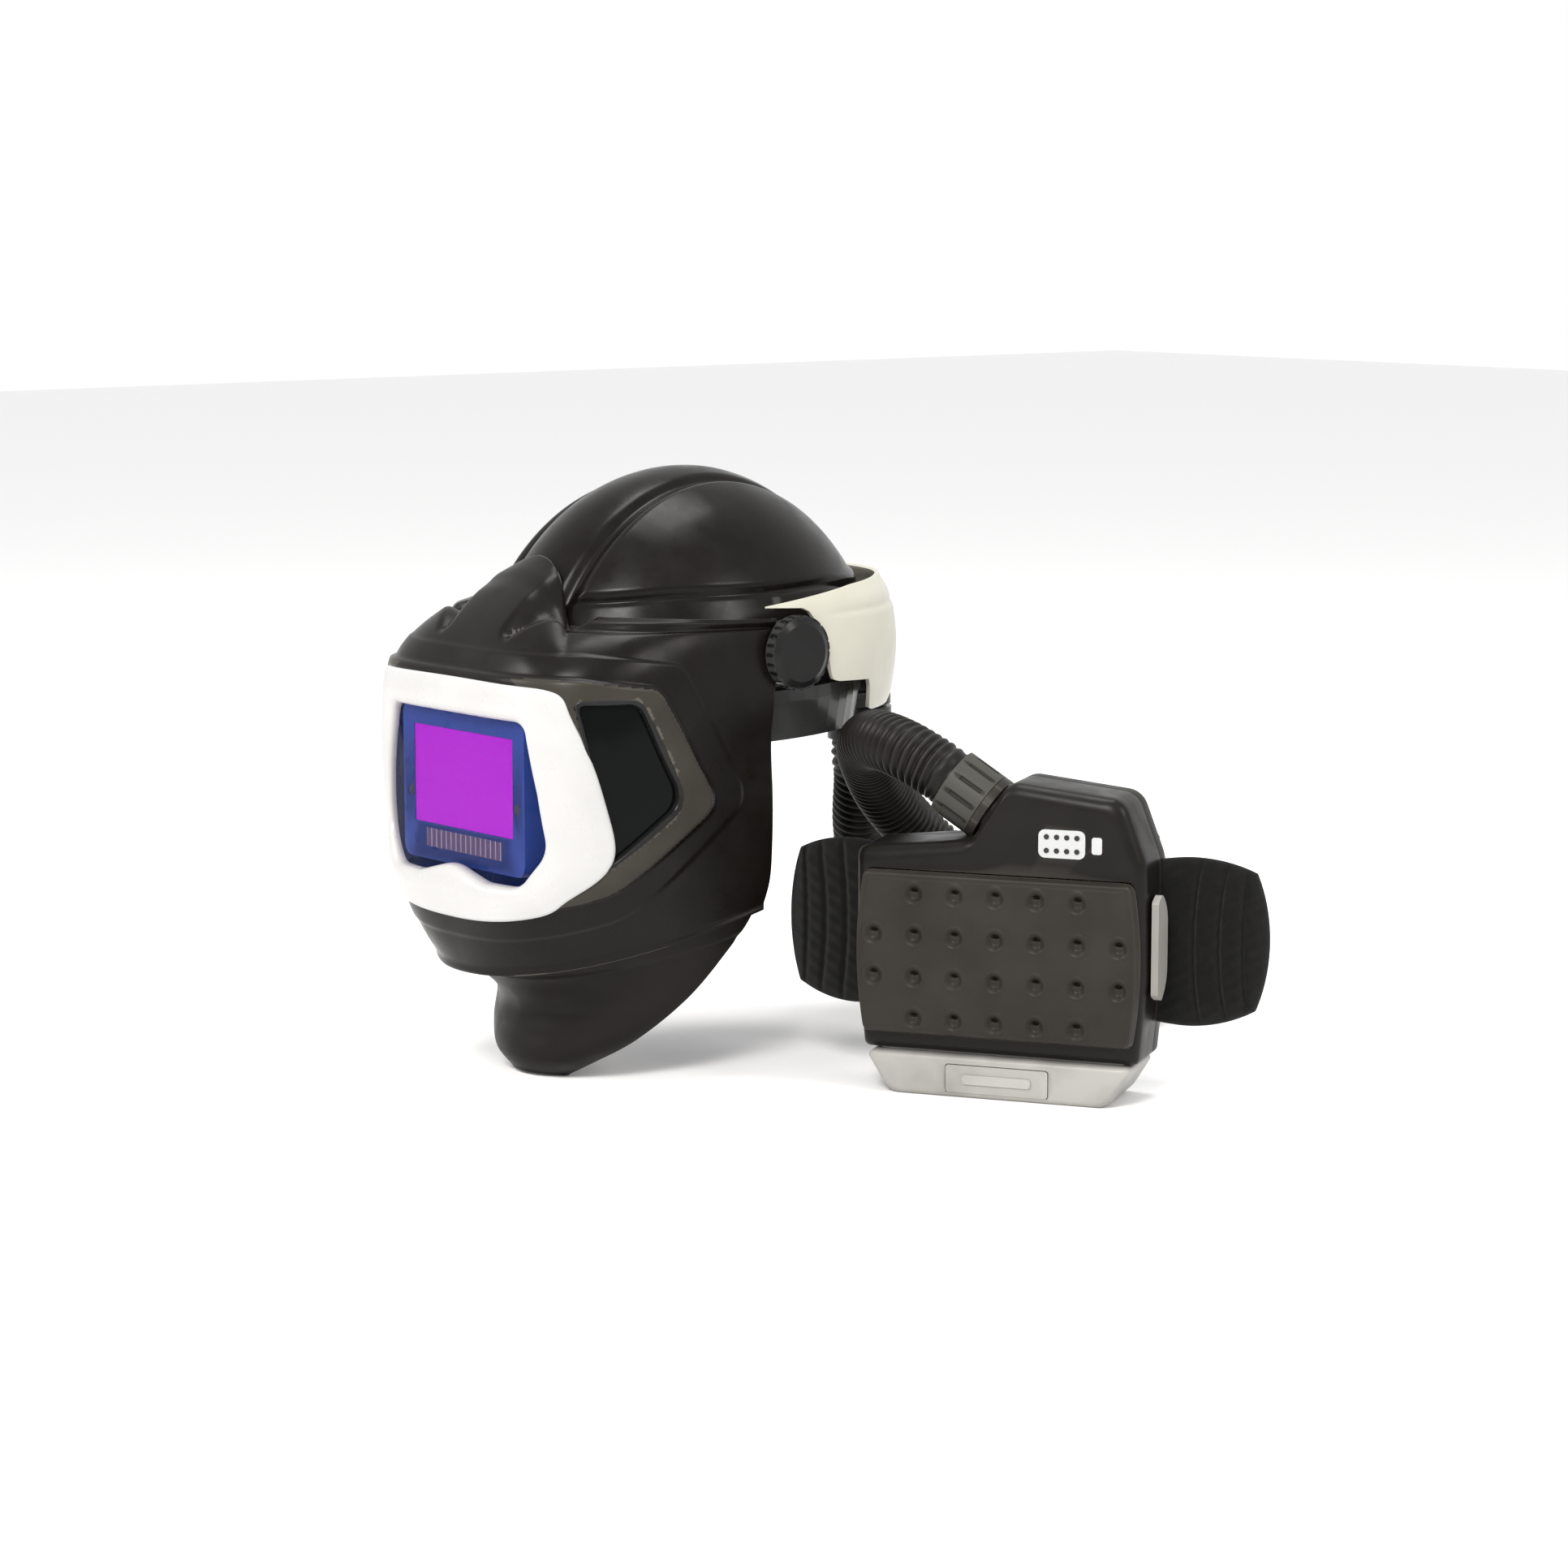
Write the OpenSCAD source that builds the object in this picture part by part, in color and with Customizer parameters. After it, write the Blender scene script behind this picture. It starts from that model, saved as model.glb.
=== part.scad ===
// Powered air respirator: lift-up welding helmet, breathing hose and belt-worn blower.
// The helmet is built facing -Y about its own pivot line, the blower about the centre of its battery's base.

/* [Helmet] */
// Distance from the helmet's pivot line to the blower's base centre, across
helmet_x = -235; // [-255:5:-225]
// Distance from the helmet's pivot line to the blower's base centre, along
helmet_y = -72; // [-90:1:-65]
// Height of the pivot line over the table
pivot_z = 269; // [268.5:0.5:269]
// Half width of the visor at the pivots
visor_half = 112; // [111:1:113]
// Wall of the visor shell
visor_wall = 3; // [2.5:0.5:3.5]
// Wall of the hard hat
hat_wall = 3; // [2.5:0.5:3.5]
// Radius of the pivot pin
pin_r = 6; // [5:0.5:7]
// Radial clearance of every turning fit
fit = 0.05; // [0.02:0.01:0.08]

/* [Filter window] */
// Width of the dark view of the automatic filter
view_w = 100; // [90:1:104]
// Height of the dark view of the automatic filter
view_h = 58; // [50:1:60]
// Height of the window's centre over the table
view_z = 192; // [190:1:194]

/* [Hose] */
// Outer diameter of the corrugated hose
hose_d = 38; // [34:1:40]
// Outer radius of the hose's end cuffs
cuff_r = 21.5; // [21:0.5:22]

/* [Blower] */
// Turn of the blower about the vertical
blower_turn = 30; // [25:1:35]
// Half width of the blower housing
blower_half = 93; // [92:1:94]
// Front face of the blower housing
blower_front = -28; // [-29:0.5:-27]
// Back face of the blower housing
blower_back = 27; // [26:0.5:29]
// Wall of the blower housing
blower_wall = 2.5; // [2:0.5:3]
// Height of the battery
battery_h = 26; // [24:1:27]
// Pitch of the dimples on the filter cover
dimple_pitch = 26; // [24:0.5:26]
// Radius of a dimple
dimple_r = 7; // [5:0.5:8]

/* [Belt] */
// Half width over both belt pads
pad_half = 157; // [154:1:160]
// Width of the webbing
webbing_w = 48; // [40:2:50]

/* [Hidden] */
$fn = 48;

// ---------- shared shapes ----------
function unit(v) = v / norm(v);
function signed_pow(v, e) = sign(v) * pow(abs(v), e);
function flat(l) = [for (a = l) for (b = a) b];
function mirrored(pts) = [for (i = [len(pts) - 1:-1:0]) [-pts[i].x, pts[i].y]];

// The arc that rounds the corner p1 between p0 and p2
function corner(p0, p1, p2, r, n) =
    let (
        a = unit(p0 - p1),
        b = unit(p2 - p1),
        half = acos(a * b) / 2,
        c = p1 + unit(a + b) * r / sin(half),
        s = p1 + a * r / tan(half) - c,
        e = p1 + b * r / tan(half) - c,
        from = atan2(s.y, s.x),
        sweep = (atan2(e.y, e.x) - from + 540) % 360 - 180
    )
    [for (k = [0:n]) c + r * [cos(from + sweep * k / n), sin(from + sweep * k / n)]];

// A polygon given as [x, y, radius] corners, with its corners rounded
function rounded(pts, n = 5) =
    let (m = len(pts))
    flat([for (i = [0:m - 1])
        let (
            p0 = pts[(i + m - 1) % m],
            p1 = pts[i],
            p2 = pts[(i + 1) % m]
        )
        corner([p0.x, p0.y], [p1.x, p1.y], [p2.x, p2.y], p1[2], n)]);

// An outline in X and Z, extruded along Y
module slab(outline, y0, y1) {
    translate([0, y1, 0]) rotate([90, 0, 0]) linear_extrude(y1 - y0) polygon(outline);
}

// An outline in Y and Z, extruded along X
module side_slab(outline, x0, x1) {
    translate([x0, 0, 0]) rotate([90, 0, 90]) linear_extrude(x1 - x0) polygon(outline);
}

// A closed wall between an outer and an inner grid of points, open at the grid's ends
module skin(outer, inner) {
    rows = len(outer);
    cols = len(outer[0]);
    n = rows * cols;
    function o(r, c) = r * cols + c;
    function i(r, c) = n + r * cols + c;
    polyhedron(
        points = concat(flat(outer), flat(inner)),
        faces = concat(
            [for (r = [0:rows - 2]) for (c = [0:cols - 2]) [o(r, c), o(r, c + 1), o(r + 1, c + 1), o(r + 1, c)]],
            [for (r = [0:rows - 2]) for (c = [0:cols - 2]) [i(r, c), i(r + 1, c), i(r + 1, c + 1), i(r, c + 1)]],
            [for (c = [0:cols - 2]) [o(0, c + 1), o(0, c), i(0, c), i(0, c + 1)]],
            [for (c = [0:cols - 2]) [o(rows - 1, c), o(rows - 1, c + 1), i(rows - 1, c + 1), i(rows - 1, c)]],
            [for (r = [0:rows - 2]) [o(r, 0), o(r + 1, 0), i(r + 1, 0), i(r, 0)]],
            [for (r = [0:rows - 2]) [o(r + 1, cols - 1), o(r, cols - 1), i(r, cols - 1), i(r + 1, cols - 1)]]
        )
    );
}

// A value of a smooth curve through the numbers or points in list, at place t
function smooth_at(list, t) =
    let (
        last = len(list) - 1,
        k = min(floor(t), last - 1),
        s = t - k,
        a = list[max(k - 1, 0)],
        b = list[k],
        c = list[k + 1],
        d = list[min(k + 2, last)]
    )
    0.5 * (2 * b + (c - a) * s + (2 * a - 5 * b + 4 * c - d) * s * s + (3 * b - a - 3 * c + d) * s * s * s);

module in_helmet() {
    translate([helmet_x, helmet_y, 0]) children();
}

module in_blower() {
    rotate([0, 0, blower_turn]) children();
}

module both_sides() {
    children();
    mirror([1, 0, 0]) children();
}

// ---------- visor surface ----------
// Levels of the visor from chin to brow rim:
// front height, front y, half width, rear y, rear height, squareness, share of the brow's nose
VISOR = [
    [72, -174, 107, -22, 108, 2.1, 0],
    [92, -181, 109, -17, 126, 2.6, 0],
    [118, -183, 110, -15, 150, 3.5, 0],
    [150, -183, 111, -14, 180, 4.3, 0],
    [190, -182, 111, -14, 212, 4.8, 0],
    [228, -181, 112, -13, 236, 4.7, 0],
    [258, -179, 112, -12, 258, 4.3, 0],
    [276, -170, 111, -12, 274, 3.6, 0.24],
    [288, -152, 109, -12, 284, 3.2, 0.62],
    [294, -130, 107, -12, 290, 2.9, 1]
];
nose_lift = [0, 17, 34];

// Half width of the nose at level t, narrowing towards the hat
function nose_half(t) = t < 8 ? 80 - 14 * max(0, t - 7) : 66 - 24 * (t - 8);

// How much of the nose a point at x has, from 1 on the centre line to 0 at its flanks
function nose_share(x, t) = abs(x) < nose_half(t) ? pow(cos(90 * x / nose_half(t)), 0.7) : 0;

// A point of the visor surface: level t, angle a from the left rear edge, moved out by grow
function visor_point(t, a, grow) =
    let (
        v = smooth_at(VISOR, t),
        e = 2 / v[5],
        x = (v[2] + grow) * signed_pow(cos(a), e),
        k = signed_pow(sin(a), e),
        y = v[3] + (v[1] - grow - v[3]) * k,
        z = v[4] + (v[0] - v[4]) * k,
        up = max(0, min(1, t - 6)) * grow * k
    )
    [x, y, z + up] + v[6] * nose_share(x, t) * nose_lift;

function visor_grid(grow, t0 = 0, t1 = 9, a0 = 0, a1 = 180, rows = 24, cols = 40) =
    [for (r = [0:rows])
        [for (c = [0:cols])
            visor_point(t0 + (t1 - t0) * r / rows, a0 + (a1 - a0) * c / cols, grow)]];

// The front of the visor that the white frame covers, seen from the side
FRAME_SIDE = rounded([[-215, 258, 3], [-166, 258, 8], [-147, 203, 40], [-134, 159, 16],
    [-141, 139, 10], [-174, 121, 20], [-215, 107, 3]]);
// The side window, seen from the side
SIDE_WINDOW = [[-158, 248, 3], [-121, 248, 12], [-87, 183, 14], [-142, 145, 3]];
// The opening in the white frame, seen from the front
FRAME_OPENING = [[-68, 235, 9], [68, 235, 9], [78, 192, 60], [83, 156, 22], [64, 133, 14],
    [34, 133, 30], [0, 142, 40], [-34, 133, 30], [-64, 133, 14], [-83, 156, 22], [-78, 192, 60]];
// The outline of the cover plate behind the frame's opening, and the filter cassette behind the plate
PLATE = rounded([[-84.5, 131, 12], [84.5, 131, 12], [84.5, 239, 10], [-84.5, 239, 10]]);
cassette_half = 64;
cassette_front = -174;
cassette_back = -151;

module hub_hole() {
    translate([visor_half - 20, 0, pivot_z]) rotate([0, 90, 0]) cylinder(h = 40, r = 18.2, $fn = 32);
}

module visor_shell() {
    color([0.16, 0.14, 0.13]) in_helmet() resize([0, 0, 0]) difference() {
        union() {
            skin(visor_grid(0), visor_grid(-visor_wall));
            both_sides() side_slab([for (a = [0:15:345]) [-2, pivot_z] + 21 * [cos(a), sin(a)]],
                visor_half - 3.7, visor_half - 0.6);
        }
        slab(rounded([[-85, 130.5, 12], [85, 130.5, 12], [85, 239.5, 10], [-85, 239.5, 10]]), -200, -120);
        both_sides() side_slab(rounded(SIDE_WINDOW), 70, 140);
        both_sides() hub_hole();
    }
}

// Rings riveted into the visor's ears, which turn on the pivot pins
module visor_hubs() {
    color([0.12, 0.12, 0.12]) in_helmet() both_sides() translate([visor_half - 7, 0, pivot_z])
        rotate([0, 90, 0]) difference() {
            union() {
                cylinder(h = 6, r = 18);
                cylinder(h = 2.7, r = 20.5);
            }
            translate([0, 0, -1]) cylinder(h = 8, r = pin_r + fit);
        }
}

module front_frame() {
    color([0.97, 0.97, 0.95]) in_helmet() resize([0, 0, 0]) difference() {
        intersection() {
            skin(visor_grid(5, 0.6, 7.2, 20, 160, 20, 40), visor_grid(0.4, 0.6, 7.2, 20, 160, 20, 40));
            side_slab(FRAME_SIDE, -130, 130);
        }
        slab(rounded(FRAME_OPENING), -215, -100);
    }
}

module cover_plate() {
    color([0.2, 0.35, 0.7, 0.4]) in_helmet() resize([0, 0, 0]) intersection() {
        skin(visor_grid(-2, 2, 6.2, 35, 145, 12, 24), visor_grid(-3.5, 2, 6.2, 35, 145, 12, 24));
        slab(PLATE, -200, -120);
    }
}

module filter_body() {
    color([0.12, 0.2, 0.45]) in_helmet() difference() {
        slab(rounded([[-cassette_half, 138, 8], [cassette_half, 138, 8],
            [cassette_half, 236, 8], [-cassette_half, 236, 8]]), cassette_front, cassette_back);
        translate([-view_w / 2, cassette_front - 1, view_z - view_h / 2])
            cube([view_w, 30, view_h]);
        translate([-view_w / 2 - 2, cassette_front - 1, view_z - view_h / 2 - 2])
            cube([view_w + 4, 5.2, view_h + 4]);
        translate([-40, cassette_front - 1, 146]) cube([80, 2.5, 12]);
        for (x = [-56, 56]) translate([x, cassette_front - 1, 180]) rotate([-90, 0, 0]) cylinder(h = 5, r = 3.5);
        for (x = [-48, 48]) translate([x, cassette_back - 4, 152]) rotate([-90, 0, 0]) cylinder(h = 6, r = 10.2);
        for (x = [-20, 0, 20]) translate([x, cassette_back - 4, 150]) rotate([-90, 0, 0]) cylinder(h = 6, r = 4.6);
    }
}

module filter_glass() {
    color([0.73, 0.12, 0.84]) in_helmet()
        translate([-view_w / 2 - 1.8, cassette_front + 0.4, view_z - view_h / 2 - 1.8])
            cube([view_w + 3.6, 3.6, view_h + 3.6]);
}

module solar_cell() {
    color([0.25, 0.1, 0.12]) in_helmet() translate([-39.8, cassette_front + 0.1, 146.2]) cube([79.6, 1.3, 11.6]);
}

module light_sensors() {
    color([0.1, 0.1, 0.14]) in_helmet()
        for (x = [-56, 56]) translate([x, cassette_front + 0.2, 180]) rotate([-90, 0, 0]) cylinder(h = 3.7, r = 3.4);
}

module filter_coin_cells() {
    color([0.7, 0.7, 0.72]) in_helmet()
        for (x = [-48, 48]) translate([x, cassette_back - 3.8, 152]) rotate([-90, 0, 0]) cylinder(h = 3.6, r = 10);
}

// A push button on the back of the filter, which the wearer's finger presses towards the front
module filter_button(x) {
    in_helmet() translate([x, cassette_back - 2.6, 150]) rotate([-90, 0, 0]) cylinder(h = 4, r = 4.3);
}

module shade_button() {
    color([0.75, 0.75, 0.75]) filter_button(-20);
}

module sensitivity_button() {
    color([0.75, 0.75, 0.75]) filter_button(0);
}

module delay_button() {
    color([0.75, 0.75, 0.75]) filter_button(20);
}

module inner_plate() {
    color([0.85, 0.9, 0.95, 0.4]) in_helmet()
        translate([-56, cassette_back + 0.3, 161]) cube([112, 1.2, 63]);
}

// A tinted side window, a plug in the visor's side opening
module side_window() {
    resize([0, 0, 0]) intersection() {
        skin(visor_grid(-0.8, 1.5, 7, 8, 90, 16, 24), visor_grid(-2.8, 1.5, 7, 8, 90, 16, 24));
        side_slab(rounded([[-157, 247.5, 3], [-121.3, 247.5, 12], [-88, 183, 14], [-141.5, 146.2, 3]]), 60, 140);
    }
}

module side_window_left() {
    color([0.03, 0.05, 0.05]) in_helmet() side_window();
}

module side_window_right() {
    color([0.03, 0.05, 0.05]) in_helmet() mirror([1, 0, 0]) side_window();
}

// ---------- throat guard ----------
// Levels from hem to joint: front height, front y, half width, rear y, rear height, squareness
THROAT = [
    [1.5, -130, 22, -112, 0, 2],
    [14, -137, 42, -108, 10, 2],
    [30, -134, 66, -90, 27, 1.8],
    [46, -132, 86, -64, 54, 1.65],
    [61, -145, 97, -40, 84, 1.85],
    [74, -166, 102, -27, 103, 2],
    [86, -172, 104, -24, 117, 2.1]
];

function throat_point(t, a, grow) =
    let (
        v = smooth_at(THROAT, t),
        e = 2 / v[5],
        k = signed_pow(sin(a), e)
    )
    [(v[2] + grow) * signed_pow(cos(a), e), v[3] + (v[1] - grow - v[3]) * k, v[4] + (v[0] - v[4]) * k];

function throat_grid(grow) =
    [for (r = [0:12]) [for (c = [0:28]) throat_point(6 * r / 12, 180 * c / 28, grow)]];

module throat_guard() {
    color([0.13, 0.11, 0.1]) in_helmet() skin(throat_grid(0), throat_grid(-2.5));
}

// The cloth seal between the visor and the wearer's face, a thin funnel inside the visor
function seal_point(t, a) =
    let (
        w = smooth_at([93, 88, 82, 76], t),
        y = smooth_at([-134, -128, -118, -106], t),
        k = signed_pow(sin(a), 0.9)
    )
    [w * signed_pow(cos(a), 0.9), -20 + (y + 20) * k, 105 + t * 22 + (1 - k) * 14];

module face_seal() {
    color([0.2, 0.2, 0.2]) in_helmet() skin(
        [for (r = [0:6]) [for (c = [0:24]) seal_point(r / 2, 180 * c / 24)]],
        [for (r = [0:6]) [for (c = [0:24]) seal_point(r / 2, 180 * c / 24) * 0.985 + [0, 0, 2]]]);
}

// ---------- hard hat ----------
hat_centre = [0, -2, 232];
hat_size = [107, 139, 146];

// A point of the hat: level t from rim (0) to crown (1), angle a round the vertical
function hat_point(t, a, grow) =
    let (
        y_dir = sin(a),
        rim = 288 - 16 * max(0, y_dir),
        low = asin((rim - hat_centre.z) / hat_size.z),
        h = low + (88 - low) * t
    )
    hat_centre + [
        (hat_size.x + grow) * cos(h) * cos(a),
        (hat_size.y + grow) * cos(h) * y_dir,
        (hat_size.z + grow) * sin(h)
    ];

function hat_ring(t, grow, n = 48) = [for (k = [0:n - 1]) hat_point(t, 360 * k / n, grow)];

module hard_hat_shell() {
    n = 48;
    rows = 12;
    outer = [for (r = [0:rows]) hat_ring(r / rows, 0, n)];
    inner = [for (r = [0:rows]) hat_ring(r / rows, -hat_wall, n)];
    function o(r, c) = r * n + c % n;
    function i(r, c) = (rows + 1 + r) * n + c % n;
    color([0.15, 0.13, 0.12]) in_helmet() polyhedron(
        points = concat(flat(outer), flat(inner)),
        faces = concat(
            [for (r = [0:rows - 1]) for (c = [0:n - 1]) [o(r, c + 1), o(r, c), o(r + 1, c), o(r + 1, c + 1)]],
            [for (r = [0:rows - 1]) for (c = [0:n - 1]) [i(r, c), i(r, c + 1), i(r + 1, c + 1), i(r + 1, c)]],
            [for (c = [0:n - 1]) [o(0, c), o(0, c + 1), i(0, c + 1), i(0, c)]],
            [[for (c = [n - 1:-1:0]) o(rows, c)]],
            [[for (c = [0:n - 1]) i(rows, c)]]
        )
    );
}

// The rubber edge trim clipped on the hat's rim
module hat_rim_trim() {
    n = 48;
    function ring(grow, dz) = [for (k = [0:n - 1]) hat_point(0, 360 * k / n, grow) + [0, 0, dz]];
    rings = [ring(1.2, -3), ring(1.2, -0.3), ring(-4.2, -0.3), ring(-4.2, -3)];
    color([0.08, 0.08, 0.08]) in_helmet() polyhedron(
        points = flat(rings),
        faces = [for (r = [0:3]) for (c = [0:n - 1])
            [r * n + (c + 1) % n, r * n + c, (r + 1) % 4 * n + c, (r + 1) % 4 * n + (c + 1) % n]]
    );
}

// ---------- head harness ----------
function oval(w, l, n = 48) = [for (k = [0:n - 1]) [w * cos(360 * k / n), 8 + l * sin(360 * k / n)]];

module band(w, l, thick, z0, z1) {
    translate([0, 0, z0]) linear_extrude(z1 - z0) difference() {
        polygon(oval(w, l));
        polygon(oval(w - thick, l - thick));
    }
}

module headband() {
    color([0.1, 0.1, 0.1]) in_helmet() band(82, 101, 2.5, 238, 271);
}

module sweatband() {
    color([0.25, 0.25, 0.27]) in_helmet() intersection() {
        band(79.2, 98.2, 5, 234, 266);
        translate([-75, -120, 200]) cube([150, 100, 100]);
    }
}

// One webbing strap over the head, an arch in its own upright plane
module crown_strap(reach, top, width) {
    outline = concat(
        [for (a = [12:6:168]) [reach * cos(a), 250 + (top - 250) * sin(a)]],
        [for (a = [168:-6:12]) [(reach - 1.6) * cos(a), 250 + (top - 251.6) * sin(a)]]
    );
    slab(outline, 8 - width / 2, 8 + width / 2);
}

module crown_straps() {
    color([0.12, 0.12, 0.13]) in_helmet() {
        crown_strap(80.8, 338, 22);
        translate([0, 8, 0]) rotate([0, 0, 90]) translate([0, -8, 0]) crown_strap(100.3, 342, 22);
    }
}

module ratchet_housing() {
    color([0.1, 0.1, 0.1]) in_helmet() slab(rounded([[-24, 236, 8], [24, 236, 8], [24, 264, 8],
        [-24, 264, 8]]), 109.5, 119);
}

module ratchet_knob() {
    color([0.12, 0.12, 0.12]) in_helmet() translate([0, 119.2, 250]) rotate([-90, 0, 0])
        difference() {
            cylinder(h = 8.5, r = 17.5);
            for (k = [0:17]) rotate([0, 0, 20 * k]) translate([18.5, 0, 2]) cylinder(h = 8, r = 1.8, $fn = 16);
        }
}

module nape_pad() {
    color([0.25, 0.25, 0.27]) in_helmet() intersection() {
        band(79.2, 98.2, 6, 234, 268);
        translate([-38, 60, 200]) cube([76, 100, 100]);
    }
}

// ---------- rear frame, cover and air path ----------
function rear_point(z, a, w, y_front, y_rear) =
    let (k = signed_pow(sin(a), 0.9))
    [w * signed_pow(cos(a), 0.9), y_front + (y_rear - y_front) * k, z];

function rear_grid(levels, grow) =
    [for (v = levels) [for (c = [32:-1:0]) rear_point(v[0], 180 * c / 32, v[1] + grow, -30, v[2] + grow)]];

// Levels of the cover: height, half width, rear y
COVER = [[215, 110, 141], [232, 114, 148], [262, 117, 151], [285, 117, 148], [298, 116.5, 142], [310, 114, 134]];
COVER_SIDE = rounded([[-25, 299, 1.5], [60, 309, 20], [170, 316, 2], [170, 224, 2], [80, 224, 6],
    [76, 245, 6], [31, 248, 4], [31, 272, 20], [14, 296, 14]]);

module rear_cover() {
    color([0.9, 0.9, 0.83]) in_helmet() resize([0, 0, 0]) intersection() {
        skin(rear_grid(COVER, 0), rear_grid(COVER, -2.8));
        side_slab(COVER_SIDE, -130, 130);
    }
}

FRAME_LEVELS = [[212, 100, 118], [236, 103, 122], [244, 103, 122]];

// The black moulding under the cover that carries the pivots, the duct and the air inlet
module nape_frame() {
    color([0.09, 0.09, 0.09]) in_helmet() resize([0, 0, 0]) difference() {
        intersection() {
            skin(rear_grid(FRAME_LEVELS, 0), rear_grid(FRAME_LEVELS, -4));
            side_slab(rounded([[-8, 208, 3], [140, 208, 3], [140, 248, 3], [-8, 248, 3]]), -120, 120);
        }
        translate([0, 140, 225]) cube([50, 60, 60], center = true);
    }
}

// Arms from the rear frame up to the pivots, one each side
module pivot_brackets() {
    color([0.1, 0.1, 0.1]) in_helmet() both_sides() {
        difference() {
            side_slab(rounded([[-12, 247, 4], [26, 247, 4], [26, 264, 8], [14, 281, 8], [-12, 281, 8]]),
                visor_half - 13, visor_half - 7.5);
            translate([visor_half - 14, 0, pivot_z]) rotate([0, 90, 0]) cylinder(h = 8, r = pin_r);
        }
        translate([82.2, 14, 248]) cube([visor_half - 95.2, 10, 6]);
    }
}

module pivot_pins() {
    color([0.6, 0.6, 0.62]) in_helmet() both_sides() translate([visor_half - 13, 0, pivot_z])
        rotate([0, 90, 0]) cylinder(h = 19.6, r = pin_r);
}

// A friction knob that turns on the pivot pin's end
module pivot_knob() {
    translate([visor_half + 0.6, 0, pivot_z]) rotate([0, 90, 0]) difference() {
        union() {
            cylinder(h = 6.5, r = 23.5);
            translate([0, 0, 6.5]) cylinder(h = 2.2, r1 = 22, r2 = 18);
        }
        translate([0, 0, -1]) cylinder(h = 7.5, r = pin_r + fit);
        for (k = [0:23]) rotate([0, 0, 15 * k]) translate([24.3, 0, 1.5]) cylinder(h = 5, r = 1.4, $fn = 16);
    }
}

module pivot_knob_left() {
    color([0.07, 0.07, 0.07]) in_helmet() pivot_knob();
}

module pivot_knob_right() {
    color([0.07, 0.07, 0.07]) in_helmet() mirror([1, 0, 0]) pivot_knob();
}

// A flat tube from the inlet up the back of the hat, open at both ends
module air_duct() {
    color([0.08, 0.08, 0.08]) in_helmet() difference() {
        translate([-28, 128.5, 226]) cube([56, 11, 40]);
        translate([-26, 130.5, 215]) cube([52, 7, 60]);
    }
}

port_at = [0, 152, 0];
port_r = 18;

module inlet_port() {
    color([0.07, 0.07, 0.07]) in_helmet() translate(port_at) difference() {
        union() {
            translate([0, 0, 196]) cylinder(h = 26, r = port_r);
            translate([0, 0, 214]) cylinder(h = 6, r = port_r + 3);
            translate([-24, -34, 214]) cube([48, 34, 10]);
        }
        translate([0, 0, 195]) cylinder(h = 24, r = port_r - 3);
    }
}

// ---------- hose ----------
// Middle of the hose from the blower's outlet to the helmet's inlet, chosen by hand
HOSE = [
    [-38, -17, 193.5],
    [-45, -21, 199],
    [-68, -27, 209],
    [-98, -23, 212],
    [-126, -9, 205],
    [-148, 13, 188],
    [-163, 40, 163],
    [-163, 68, 136],
    [-148, 94, 108],
    [-128, 116, 82],
    [-108, 141, 57],
    [-95, 171, 36],
    [-98, 210, 23],
    [-120, 242, 20],
    [-156, 261, 20],
    [-197, 261, 20],
    [-234, 239, 20],
    [-260, 207, 23],
    [-275, 176, 33],
    [-275, 144, 56],
    [-267, 117, 90],
    [-251, 95, 128],
    [-236, 83, 164],
    [-235, 80, 178],
    [-235, 80, 190]
];
hose_rings = 76;
hose_sides = 10;

function hose_at(k) = smooth_at(HOSE, (len(HOSE) - 1) * k / hose_rings);
function hose_dir(k) = unit(hose_at(min(k + 0.2, hose_rings)) - hose_at(max(k - 0.2, 0)));
// A direction square to the hose, carried from ring to ring so that the tube doesn't twist
function hose_side(k, last) =
    let (
        d = hose_dir(k),
        s = last - (last * d) * d
    )
    unit(s);
function hose_frames(k, last) =
    let (s = hose_side(k, last))
    k >= hose_rings ? [s] : concat([s], hose_frames(k + 1, s));

module breathing_hose() {
    sides = hose_frames(0, [0, 0, 1]);
    r = hose_d / 2;
    n = hose_sides;
    points = flat([for (k = [0:hose_rings])
        let (
            p = hose_at(k),
            s = sides[k],
            b = cross(hose_dir(k), s)
        )
        [for (j = [0:n - 1]) p + r * (cos(360 * j / n) * s + sin(360 * j / n) * b)]]);
    color([0.1, 0.1, 0.1]) polyhedron(
        points = points,
        faces = concat(
            [[for (j = [0:n - 1]) j]],
            [[for (j = [n - 1:-1:0]) hose_rings * n + j]],
            [for (k = [0:hose_rings - 1]) for (j = [0:n - 1])
                [k * n + (j + 1) % n, k * n + j, (k + 1) * n + j, (k + 1) * n + (j + 1) % n]]
        )
    );
}

// ---------- blower ----------
// The blower housing seen from the front, moved in by m
function housing_outline(m) = rounded([
    [-blower_half + 5 + m, battery_h + 1 + m, 4],
    [blower_half - 5 - m, battery_h + 1 + m, 4],
    [blower_half - m, 80, 60],
    [blower_half - 1 - m, 150, 30],
    [blower_half - 16 - m, 190 - m, 14],
    [5, 198 - m, 12],
    [-19, 161 - m, 14],
    [-blower_half + m, 153 - m, 7],
    [-blower_half + m, 80, 60]
]);
bay_low = 38;
bay_high = 141;
bulkhead = -2;
fan_at = [8, 92];
outlet_turn = 33;
outlet_at = [2, 4, 165];

module at_outlet() {
    translate(outlet_at) rotate([0, -90 + outlet_turn, 0]) children();
}

module screw_places() {
    for (p = [[-84, 34], [84, 34], [-84, 146], [84, 160]])
        translate([p.x, blower_back, p.y]) rotate([90, 0, 0]) children();
}

// The way through the housing's floor for the battery's tongue
module battery_slot() {
    translate([-78.5, -20.5, 20]) cube([157, 41, 14]);
}

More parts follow.
